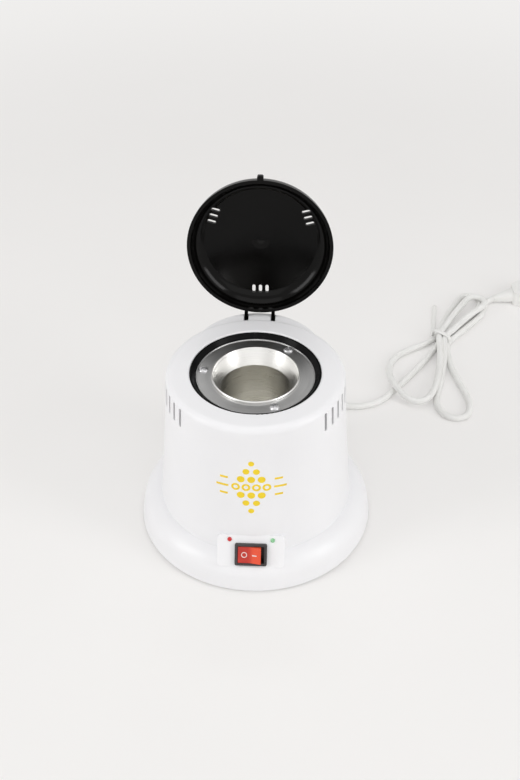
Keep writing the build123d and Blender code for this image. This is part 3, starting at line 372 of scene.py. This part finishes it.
plugRun = [
    (0.1602, 0.2052, 0.0027), (0.1691, 0.216, 0.0027), (0.178, 0.2269, 0.0027), (0.1854, 0.2363, 0.0027),
    (0.188, 0.247, 0.0028), (0.1907, 0.2548, 0.003), (0.1941, 0.2591, 0.0032), (0.1983, 0.2609, 0.0032),
]
cordRoute = freeRun + hankEntry + longTurn + leftLobe + shortTurn + rightLobe + plugRun

softWhite = plasticFinish("softWhitePvc", cordValues["finish"])


def makeCord(values, route, finish):
    data = bpy.data.curves.new("mainsLead", "CURVE")
    data.dimensions = "3D"
    data.bevel_depth = values["radius"]
    data.bevel_resolution = values["bevelSteps"]
    data.resolution_u = values["splineSteps"]
    data.use_fill_caps = True
    spline = data.splines.new("NURBS")
    spline.points.add(len(route) - 1)
    for point, spot in zip(spline.points, route):
        point.co = (*spot, 1)
    spline.order_u = 3
    spline.use_endpoint_u = True
    data.materials.append(finish)
    lead = bpy.data.objects.new("mainsLead", data)
    scene.collection.objects.link(lead)
    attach(lead, "base")
    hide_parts("power_cord", "cord_hank")
    return lead


mainsLead = makeCord(cordValues, cordRoute, softWhite)


# Tie: a soft strip bent round the bundle, its free end lying on the bench behind it
tieValues = {
    "spot": (0.147, 0.1976),
    "heading": 53.0,
    "halfWidth": 0.0083,
    "height": 0.0108,
    "squareness": 0.62,
    "steps": 48,
    "stripWidth": 0.0044,
    "stripThickness": 0.0009,
    "crown": 1.15,
    "lift": 0.0008,
    "tail": [
        (0.1406, 0.2022, 0.0064), (0.1408, 0.2062, 0.0030), (0.1416, 0.2110, 0.0012),
        (0.1424, 0.2170, 0.0010), (0.1431, 0.2245, 0.0010), (0.1441, 0.2340, 0.0010),
        (0.1452, 0.2430, 0.0012), (0.1461, 0.2520, 0.0018),
    ],
    "tailWidth": 0.0040,
    "tailWay": (1, -0.1, 0),
    "softening": 1,
}


def sweepStrip(bm, path, across, width, values, closed):
    thickness = values["stripThickness"]
    rows = []
    count = len(path)
    for index, spot in enumerate(path):
        before = path[index - 1] if closed or index > 0 else spot
        after = path[(index + 1) % count] if closed or index < count - 1 else spot
        along = (after - before).normalized()
        side = across[index].normalized()
        outward = along.cross(side).normalized() * thickness / 2
        half = side * width / 2
        shoulder = side * (width / 2 - thickness / 2)
        rows.append([bm.verts.new(spot + step) for step in (
            half, shoulder + outward, outward * values["crown"], -shoulder + outward,
            -half, -shoulder - outward, -outward, shoulder - outward)])
    corners = len(rows[0])
    for index in range(count if closed else count - 1):
        here = rows[index]
        there = rows[(index + 1) % count]
        for corner in range(corners):
            after = (corner + 1) % corners
            bm.faces.new((here[corner], here[after], there[after], there[corner]))
    if not closed:
        bm.faces.new(rows[0])
        bm.faces.new(rows[-1][::-1])


def makeTie(values, finish):
    heading = radians(values["heading"])
    way = Vector((cos(heading), sin(heading), 0))
    across = Vector((-way.y, way.x, 0))
    middle = Vector((*values["spot"], values["height"] / 2 + values["lift"]))
    path = []
    for step in range(values["steps"]):
        angle = 2 * pi * step / values["steps"]
        flat = abs(cos(angle)) ** values["squareness"] * (1 if cos(angle) > 0 else -1)
        tall = abs(sin(angle)) ** values["squareness"] * (1 if sin(angle) > 0 else -1)
        path.append(middle + across * values["halfWidth"] * flat
                    + Vector((0, 0, values["height"] / 2)) * tall)
    bm = bmesh.new()
    sweepStrip(bm, path, [way] * len(path), values["stripWidth"], values, True)
    tail = [Vector(spot) for spot in values["tail"]]
    tailAcross = [way] + [Vector(values["tailWay"])] * (len(tail) - 1)
    sweepStrip(bm, tail, tailAcross, values["tailWidth"], values, False)
    tie = addMesh("cordTie", bm, finish, "base")
    smoother = tie.modifiers.new("softer", "SUBSURF")
    smoother.levels = values["softening"]
    smoother.render_levels = values["softening"]
    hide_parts("cord_tie")
    return tie


cordTie = makeTie(tieValues, softWhite)
dress(softWhite, "plug_body", "strain_relief", "lead_tail")
print("mains lead laid,", len(cordRoute), "points")


# Housing, seen from all round: one glossy white moulding
housingValues = {
    "dark": (0.865, 0.865, 0.882),
    "light": (0.895, 0.895, 0.91),
    "cloudScale": 9,
    "smearScale": 60,
    "roughness": (0.3, 0.34),
    "waveScale": 14,
    "waveDepth": 0.00003,
    "skinScale": 1800,
    "skinDepth": 0.000002,
    "sockets": {"Specular IOR Level": 0.35, "Coat Weight": 0.06, "Coat Roughness": 0.1},
}
dress(plasticFinish("whiteMoulding", housingValues), "housing")

# Base plate in dark plastic and the rubber feet under it
basePlateValues = {
    "edgeColour": (0.16, 0.155, 0.16),
    "edgeRadius": 0.0004,
    "edgePatches": 60,
    "dark": (0.07, 0.068, 0.07),
    "light": (0.095, 0.092, 0.095),
    "cloudScale": 30,
    "smearScale": 120,
    "roughness": (0.42, 0.6),
    "waveScale": 60,
    "waveDepth": 0.0001,
    "skinScale": 1600,
    "skinDepth": 0.00006,
}
dress(plasticFinish("darkBasePlate", basePlateValues), "base_plate")
footValues = {
    "dark": (0.018, 0.018, 0.018),
    "light": (0.04, 0.04, 0.039),
    "cloudScale": 90,
    "smearScale": 400,
    "roughness": (0.62, 0.85),
    "waveScale": 150,
    "waveDepth": 0.0001,
    "skinScale": 3200,
    "skinDepth": 0.00008,
    "sockets": {"Specular IOR Level": 0.3},
}
dress(plasticFinish("footRubber", footValues), "rubber_feet")
print("housing and base dressed")

# Lid: black moulding with a polished face, its edges a little rubbed
lidValues = {
    "edgeColour": (0.012, 0.0115, 0.011),
    "edgeRadius": 0.0004,
    "edgePatches": 60,
    "dark": (0.0008, 0.0007, 0.0006),
    "light": (0.0022, 0.002, 0.0018),
    "cloudScale": 14,
    "smearScale": 70,
    "roughness": (0.1, 0.17),
    "waveScale": 26,
    "waveDepth": 0.00014,
    "skinScale": 2600,
    "skinDepth": 0.000006,
    "sockets": {"Specular IOR Level": 0.14},
}
dress(plasticFinish("blackLidGloss", lidValues), "lid")

# Collar: black heat-proof moulding with a fine satin skin
collarValues = {
    "edgeColour": (0.03, 0.03, 0.031),
    "edgeRadius": 0.0004,
    "edgePatches": 90,
    "dark": (0.002, 0.002, 0.0022),
    "light": (0.005, 0.005, 0.0053),
    "cloudScale": 40,
    "smearScale": 160,
    "roughness": (0.16, 0.3),
    "waveScale": 60,
    "waveDepth": 0.00006,
    "skinScale": 2200,
    "skinDepth": 0.000008,
    "sockets": {"Specular IOR Level": 0.08},
}
dress(plasticFinish("blackCollar", collarValues), "collar_ring")
print("lid and collar dressed")

# Steel plate, spun and brushed round the axis
plateValues = {
    "edgeColour": (0.78, 0.78, 0.78),
    "edgeRadius": 0.0003,
    "edgePatches": 90,
    "ringShare": 0.0006,
    "grainScale": 2500,
    "patchScale": 45,
    "dark": (0.37, 0.37, 0.37),
    "light": (0.5, 0.5, 0.495),
    "roughness": (0.3, 0.42),
    "grainDepth": 0.000002,
    "sockets": {"Metallic": 1.0, "Anisotropic": 0.5},
}
dress(metalFinish("brushedPlate", plateValues), "flange_plate")

# Crucible: turned aluminium with fine tool rings
crucibleValues = {
    "edgeColour": (0.94, 0.935, 0.92),
    "edgeRadius": 0.0003,
    "edgePatches": 90,
    "ringShare": 0.0004,
    "grainScale": 2000,
    "patchScale": 30,
    "dark": (0.76, 0.755, 0.735),
    "light": (0.88, 0.875, 0.86),
    "roughness": (0.24, 0.34),
    "grainDepth": 0.0000012,
    # painted shade: warmer and a little darker down in the bore
    "boreShadeTint": (1.0, 0.993, 0.965),
    "deepFrom": 0.1092,
    "deepTo": 0.1099,
    "sockets": {"Metallic": 1.0, "Anisotropic": 0.3},
}
dress(metalFinish("turnedAluminium", crucibleValues), "crucible")

# Fasteners and small pressed steel parts
zincValues = {
    "edgeColour": (0.85, 0.85, 0.85),
    "edgeRadius": 0.0002,
    "edgePatches": 500,
    "stretch": (1, 1, 1),
    "grainScale": 900,
    "patchScale": 240,
    "dark": (0.42, 0.42, 0.43),
    "light": (0.7, 0.7, 0.71),
    "roughness": (0.22, 0.42),
    "grainDepth": 0.00002,
    "sockets": {"Metallic": 1.0},
}
dress(metalFinish("zincPlated", zincValues), "plate_screws", "base_screws", "can_screws", "strap_screws",
      "band_screw", "clamp_screws", "thermostat_strap", "fuse_saddle", "thermal_fuse")

# Can round the fibre: rolled steel, its grain running round
canValues = {
    "stretch": (1, 1, 14),
    "grainScale": 160,
    "patchScale": 40,
    "dark": (0.2, 0.2, 0.2),
    "light": (0.36, 0.36, 0.36),
    "roughness": (0.35, 0.55),
    "grainDepth": 0.00003,
    "sockets": {"Metallic": 1.0},
}
dress(metalFinish("rolledCan", canValues), "heat_shield")

# Heater band: steel tinted by the heat
bandValues = {
    "stretch": (1, 1, 8),
    "grainScale": 220,
    "patchScale": 60,
    "dark": (0.24, 0.21, 0.17),
    "light": (0.5, 0.48, 0.43),
    "roughness": (0.35, 0.6),
    "grainDepth": 0.00004,
    "sockets": {"Metallic": 0.9},
}
dress(metalFinish("heatTintedBand", bandValues), "heater_band")

# Hinge pin and the plug's pins: ground bright
pinValues = {
    "stretch": (12, 1, 1),
    "grainScale": 700,
    "patchScale": 200,
    "dark": (0.62, 0.61, 0.59),
    "light": (0.82, 0.81, 0.79),
    "roughness": (0.1, 0.24),
    "grainDepth": 0.00001,
    "sockets": {"Metallic": 1.0},
}
dress(metalFinish("groundPin", pinValues), "hinge_pin", "plug_pins")

# Contacts of the switch and the block's screws: brass
brassValues = {
    "stretch": (1, 1, 1),
    "grainScale": 700,
    "patchScale": 200,
    "dark": (0.5, 0.34, 0.13),
    "light": (0.74, 0.56, 0.27),
    "roughness": (0.25, 0.42),
    "grainDepth": 0.00002,
    "sockets": {"Metallic": 1.0},
}
dress(metalFinish("contactBrass", brassValues), "switch_blades", "terminal_screws")
print("metal parts dressed")

# Switch: charcoal bezel
bezelValues = {
    "edgeColour": (0.11, 0.1, 0.1),
    "edgeRadius": 0.0003,
    "edgePatches": 300,
    "dark": (0.03, 0.026, 0.027),
    "light": (0.046, 0.04, 0.041),
    "cloudScale": 120,
    "smearScale": 500,
    "roughness": (0.34, 0.48),
    "waveScale": 150,
    "waveDepth": 0.00004,
    "skinScale": 4200,
    "skinDepth": 0.00002,
}
dress(plasticFinish("bezelCharcoal", bezelValues), "switch_body")


# Rocker: orange-red lens with painted marks. Its right half is painted paler, a painted highlight where that
# half tilts up to the light, and a weak emission paints a glow into the unlit lens
def paintHighlightFrom(material, values):
    tree = material.node_tree
    base = tree.nodes["Principled BSDF"].inputs["Base Color"]
    across = splitAxes(tree, objectCoordinates(tree))["X"]
    share = mapBetween(tree, across, values["paintedHighlightRange"], (0, 1), "SMOOTHSTEP")
    tree.links.new(blendColours(tree, share, base.links[0].from_socket, values["pale"]), base)


rockerValues = {
    "dark": (0.42, 0.02, 0.013),
    "light": (0.5, 0.028, 0.018),
    # pale: the painted highlight colour of the right half
    "pale": (0.76, 0.085, 0.033),
    "paintedHighlightRange": (-0.0022, 0.0022),
    "cloudScale": 110,
    "smearScale": 500,
    "roughness": (0.16, 0.26),
    "waveScale": 160,
    "waveDepth": 0.00005,
    "skinScale": 4200,
    "skinDepth": 0.00001,
    # The emission is a painted glow: the switch is unlit
    "sockets": {"Subsurface Weight": 0.15, "Subsurface Radius": (0.004, 0.0008, 0.0004),
                "Emission Color": (1.0, 0.09, 0.03, 1), "Emission Strength": 0.06},
}
rockerLens = plasticFinish("rockerLens", rockerValues)
paintHighlightFrom(rockerLens, rockerValues)
dress(rockerLens, "switch_rocker")

# Paint of the rocker's marks
markValues = {
    "dark": (0.82, 0.74, 0.7),
    "light": (0.92, 0.86, 0.82),
    "cloudScale": 600,
    "smearScale": 900,
    "roughness": (0.4, 0.55),
    "waveScale": 900,
    "waveDepth": 0.00001,
    "skinScale": 6000,
    "skinDepth": 0.00001,
}
markPaint = plasticFinish("markPaint", markValues)

# Printed shapes: flat outlines laid on a CAD surface, a hair proud of it and closed underneath
printValues = {
    "proud": 0.00009,
    "sunk": 0.00012,
    "discSides": 40,
    "discRings": 5,
    "hollowRings": 3,
    "barSteps": 16,
}


def discShape(bm, centre, radius, hole=0.0):
    sides = printValues["discSides"]
    rings = printValues["hollowRings"] if hole else printValues["discRings"]
    turns = [2 * pi * side / sides for side in range(sides)]
    rows = []
    for ring in range(rings):
        share = ring / (rings - 1)
        reach = hole + (radius - hole) * share
        around = turns if reach else turns[:1]  # a full disc starts from one point
        rows.append([bm.verts.new((centre[0] + reach * cos(turn), centre[1] + reach * sin(turn), 0))
                     for turn in around])
    for inner, outer in zip(rows, rows[1:]):
        for side in range(sides):
            after = (side + 1) % sides
            if len(inner) == 1:
                bm.faces.new((inner[0], outer[side], outer[after]))
            else:
                bm.faces.new((inner[side], outer[side], outer[after], inner[after]))


def barShape(bm, centre, length, width):
    steps = printValues["barSteps"]
    rows = []
    for step in range(steps + 1):
        x = centre[0] + length * (step / steps - 0.5)
        rows.append([bm.verts.new((x, centre[1] + width * share, 0)) for share in (-0.5, 0, 0.5)])
    for here, there in zip(rows, rows[1:]):
        for side in range(2):
            bm.faces.new((here[side], there[side], there[side + 1], here[side + 1]))


def layPrint(name, bm, findSurface, body, finish):
    spots = {vertex: findSurface(vertex.co.x, vertex.co.y) for vertex in bm.verts}
    copy = bmesh.ops.extrude_face_region(bm, geom=list(bm.faces))
    for item in copy["geom"]:
        if isinstance(item, bmesh.types.BMVert):
            hit, normal = findSurface(item.co.x, item.co.y)
            item.co = hit + normal * printValues["proud"]
    for vertex, (hit, normal) in spots.items():
        vertex.co = hit - normal * printValues["sunk"]
    piece = addMesh(name, bm, finish, body, smooth=False)
    return piece


# Rocker marks: a ring on one half and a bar on the other
rockerMarks = {
    "ringCentre": (-0.0043, 0.0001),
    "ringRadius": 0.0019,
    "ringHole": 0.00142,
    "barCentre": (0.0024, 0.0),
    "barLength": 0.0029,
    "barWidth": 0.0007,
    "panelTilt": 28.6,
    "rayStart": 0.03,
}


def layRockerMarks(values):
    tilt = radians(values["panelTilt"])
    outward = Vector((0, -cos(tilt), sin(tilt)))
    upward = Vector((0, sin(tilt), cos(tilt)))
    low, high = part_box("switch_rocker")
    middle = (low + high) / 2
    rocker = surfaceOf("switch_rocker")

    def onRocker(x, y):
        start = Vector((x, middle.y, middle.z)) + upward * y + outward * values["rayStart"]
        return rocker.ray_cast(start, -outward)[:2]

    ring = bmesh.new()
    discShape(ring, values["ringCentre"], values["ringRadius"], values["ringHole"])
    layPrint("rockerRingMark", ring, onRocker, "rocker", markPaint)
    bar = bmesh.new()
    barShape(bar, values["barCentre"], values["barLength"], values["barWidth"])
    layPrint("rockerBarMark", bar, onRocker, "rocker", markPaint)


layRockerMarks(rockerMarks)

# Indicator lamps: tinted domes, the red one dull and the green one pale. Both are unlit, and their weak
# emission is a painted glow
redLampValues = {
    "dark": (0.5, 0.012, 0.016),
    "light": (0.68, 0.03, 0.03),
    "cloudScale": 700,
    "smearScale": 900,
    "roughness": (0.08, 0.16),
    "waveScale": 400,
    "waveDepth": 0.00002,
    "skinScale": 5000,
    "skinDepth": 0.000005,
    # emission: painted glow
    "sockets": {"Transmission Weight": 0.2, "Emission Color": (0.9, 0.03, 0.03, 1), "Emission Strength": 0.1},
}
dress(plasticFinish("redLens", redLampValues), "red_lamp")
greenLampValues = {
    "dark": (0.22, 0.5, 0.26),
    "light": (0.34, 0.64, 0.38),
    "cloudScale": 700,
    "smearScale": 900,
    "roughness": (0.08, 0.16),
    "waveScale": 400,
    "waveDepth": 0.00002,
    "skinScale": 5000,
    "skinDepth": 0.000005,
    # emission: painted glow
    "sockets": {"Transmission Weight": 0.2, "Emission Color": (0.3, 0.9, 0.4, 1), "Emission Strength": 0.1},
}
dress(plasticFinish("greenLens", greenLampValues), "green_lamp")
print("switch and lamps dressed")

# Yellow print on the neck: a diamond of bead discs, rings in its widest row, between short bars
motifValues = {
    "height": 0.0775,
    "pitch": 0.0066,
    "rowStep": 0.0064,
    "rows": [1, 2, 3, 4, 3, 2, 1],
    "discRadius": 0.0022,  # in a row of plainCount discs, and growth more for each further disc
    "plainCount": 2,
    "growth": 0.0003,
    "hole": 0.5,
    "barReach": 0.0186,
    "barLength": 0.0082,
    "barWidth": 0.0015,
    "barStep": 0.0064,
    "barShrink": 0.35,
    "barStagger": 0.001,
    "aroundRadius": 0.0608,
    "rayStart": 0.2,
    "finish": {
        "dark": (0.86, 0.62, 0.006),
        "light": (0.93, 0.69, 0.012),
        "cloudScale": 260,
        "smearScale": 600,
        "roughness": (0.34, 0.5),
        "waveScale": 300,
        "waveDepth": 0.00002,
        "skinScale": 4000,
        "skinDepth": 0.00002,
    },
}


def layMotif(values):
    neck = surfaceOf("housing")

    def onNeck(x, y):
        turn = x / values["aroundRadius"]
        outward = Vector((sin(turn), -cos(turn), 0))
        start = outward * values["rayStart"] + Vector((0, 0, values["height"] + y))
        return neck.ray_cast(start, -outward)[:2]

    beads = bmesh.new()
    middleRow = len(values["rows"]) // 2
    for row, count in enumerate(values["rows"]):
        y = (middleRow - row) * values["rowStep"]
        radius = values["discRadius"] + values["growth"] * (count - values["plainCount"])
        hole = radius * values["hole"] if row == middleRow else 0
        for index in range(count):
            x = (index - (count - 1) / 2) * values["pitch"]
            discShape(beads, (x, y), radius, hole)
    layPrint("beadMotif", beads, onNeck, "base", yellowPrint)
    bars = bmesh.new()
    for side in (-1, 1):
        for step in (-1, 0, 1):
            length = values["barLength"] * (1 - values["barShrink"] * abs(step))
            x = side * (values["barReach"] - values["barStagger"] * abs(step))
            barShape(bars, (x, step * values["barStep"]), length, values["barWidth"])
    layPrint("barMotif", bars, onNeck, "base", yellowPrint)


yellowPrint = plasticFinish("yellowPrint", motifValues["finish"])
layMotif(motifValues)
print("print laid")

# Parts inside the housing: fibre, moulded blocks, board and wiring
woolValues = {
    "dark": (0.66, 0.64, 0.58),
    "light": (0.84, 0.83, 0.79),
    "cloudScale": 120,
    "smearScale": 500,
    "roughness": (0.85, 1.0),
    "waveScale": 260,
    "waveDepth": 0.0008,
    "skinScale": 1500,
    "skinDepth": 0.0005,
    "sockets": {"Specular IOR Level": 0.1, "Sheen Weight": 0.3},
}
dress(plasticFinish("ceramicFibre", woolValues), "insulation_sleeve", "insulation_disc")
bakeliteValues = {
    "dark": (0.02, 0.016, 0.013),
    "light": (0.045, 0.038, 0.032),
    "cloudScale": 200,
    "smearScale": 600,
    "roughness": (0.35, 0.55),
    "waveScale": 240,
    "waveDepth": 0.00005,
    "skinScale": 3000,
    "skinDepth": 0.00004,
}
dress(plasticFinish("blackBakelite", bakeliteValues), "thermostat")
creamValues = {
    "dark": (0.66, 0.62, 0.5),
    "light": (0.76, 0.72, 0.6),
    "cloudScale": 200,
    "smearScale": 500,
    "roughness": (0.4, 0.6),
    "waveScale": 200,
    "waveDepth": 0.00005,
    "skinScale": 3000,
    "skinDepth": 0.00004,
}
dress(plasticFinish("creamBlock", creamValues), "terminal_block", "cord_clamp")
boardValues = {
    "dark": (0.02, 0.11, 0.045),
    "light": (0.035, 0.16, 0.07),
    "cloudScale": 300,
    "smearScale": 700,
    "roughness": (0.25, 0.4),
    "waveScale": 500,
    "waveDepth": 0.00003,
    "skinScale": 3000,
    "skinDepth": 0.00002,
}
dress(plasticFinish("coatedBoard", boardValues), "lamp_board")
sheathValues = {
    "dark": (0.5, 0.05, 0.035),
    "light": (0.62, 0.08, 0.055),
    "cloudScale": 200,
    "smearScale": 600,
    "roughness": (0.45, 0.62),
    "waveScale": 300,
    "waveDepth": 0.00005,
    "skinScale": 3000,
    "skinDepth": 0.00005,
}
dress(plasticFinish("wireSheath", sheathValues), "switch_leads", "heater_leads")
print("inner parts dressed")

# Bench: a pale seamless sheet that keeps the soft shadow; as the camera and mirrors see it,
# it glows a little near the part and wholly further out, where it meets the pale room
floorValues = {
    "size": 8.0,
    "squares": 8,
    "dark": (0.884, 0.873, 0.862),
    "light": (0.9, 0.889, 0.878),
    "mottleScale": 6,
    "glow": (0.872, 0.861, 0.85),
    "glowShare": 0.35,
    "fadeRange": (0.45, 1.1),
    "sockets": {"Roughness": 0.9, "Specular IOR Level": 0.1},
}


def seenRays(tree):
    path = place(tree, "ShaderNodeLightPath")
    mirrored = calculate(tree, "MAXIMUM", path.outputs["Is Glossy Ray"], path.outputs["Is Transmission Ray"])
    return calculate(tree, "MAXIMUM", path.outputs["Is Camera Ray"], mirrored)


def makeFloor(values):
    material, tree, shader = newFinish("benchSheet", values)
    mottle = noiseFrom(tree, objectCoordinates(tree), "mottle", values["mottleScale"])
    tree.links.new(rampBetween(tree, mottle, values["dark"], values["light"]), shader.inputs["Base Color"])
    glow = place(tree, "ShaderNodeEmission", Color=(*values["glow"], 1))
    far = lengthOf(tree, objectCoordinates(tree))
    fade = mapBetween(tree, far, values["fadeRange"], (values["glowShare"], 1), "SMOOTHSTEP")
    mix = place(tree, "ShaderNodeMixShader")
    tree.links.new(calculate(tree, "MULTIPLY", seenRays(tree), fade), mix.inputs["Fac"])
    tree.links.new(shader.outputs[0], mix.inputs[1])
    tree.links.new(glow.outputs[0], mix.inputs[2])
    tree.links.new(mix.outputs[0], tree.nodes["Material Output"].inputs["Surface"])
    bm = bmesh.new()
    squares = values["squares"]
    bmesh.ops.create_grid(bm, x_segments=squares, y_segments=squares, size=values["size"] / 2)
    floor = addMesh("benchFloor", bm, material)


makeFloor(floorValues)

# Studio light: an even white room and five soft boxes
lightValues = {
    "room": (1.0, 0.988, 0.977),
    "roomStrength": 0.53,
    "reflectedStrength": 0.872,
    "boxes": [
        {"name": "leftBox", "spot": (-1.15, -0.5, 0.68), "size": (0.42, 0.85), "power": 5.2},
        {"name": "rightBox", "spot": (1.15, -0.5, 0.68), "size": (0.42, 0.85), "power": 5.2},
        {"name": "frontBox", "spot": (0.15, -1.5, 0.95), "size": (1.8, 1.0), "power": 2.9},
        {"name": "topBox", "spot": (0.0, -0.1, 1.75), "size": (1.8, 1.3), "power": 5.3},
        {"name": "rimBox", "spot": (0.0, 0.95, 1.5), "size": (0.8, 0.14), "power": 1.4},
    ],
    "aim": (0, 0, 0.07),
}


def makeLights(values):
    world = bpy.data.worlds.new("paleRoom")
    world.use_nodes = True
    tree = world.node_tree
    background = tree.nodes["Background"]
    background.inputs["Color"].default_value = (*values["room"], 1)
    strengths = (values["roomStrength"], values["reflectedStrength"])
    tree.links.new(mapBetween(tree, seenRays(tree), (0, 1), strengths), background.inputs["Strength"])
    scene.world = world
    for box in values["boxes"]:
        data = bpy.data.lights.new(box["name"], "AREA")
        data.shape = "RECTANGLE"
        data.size, data.size_y = box["size"]
        data.energy = box["power"]
        lamp = bpy.data.objects.new(box["name"], data)
        scene.collection.objects.link(lamp)
        spot = Vector(box["spot"])
        lamp.location = spot
        lamp.rotation_euler = (Vector(values["aim"]) - spot).to_track_quat("-Z", "Y").to_euler()


makeLights(lightValues)
print("bench and lights ready")
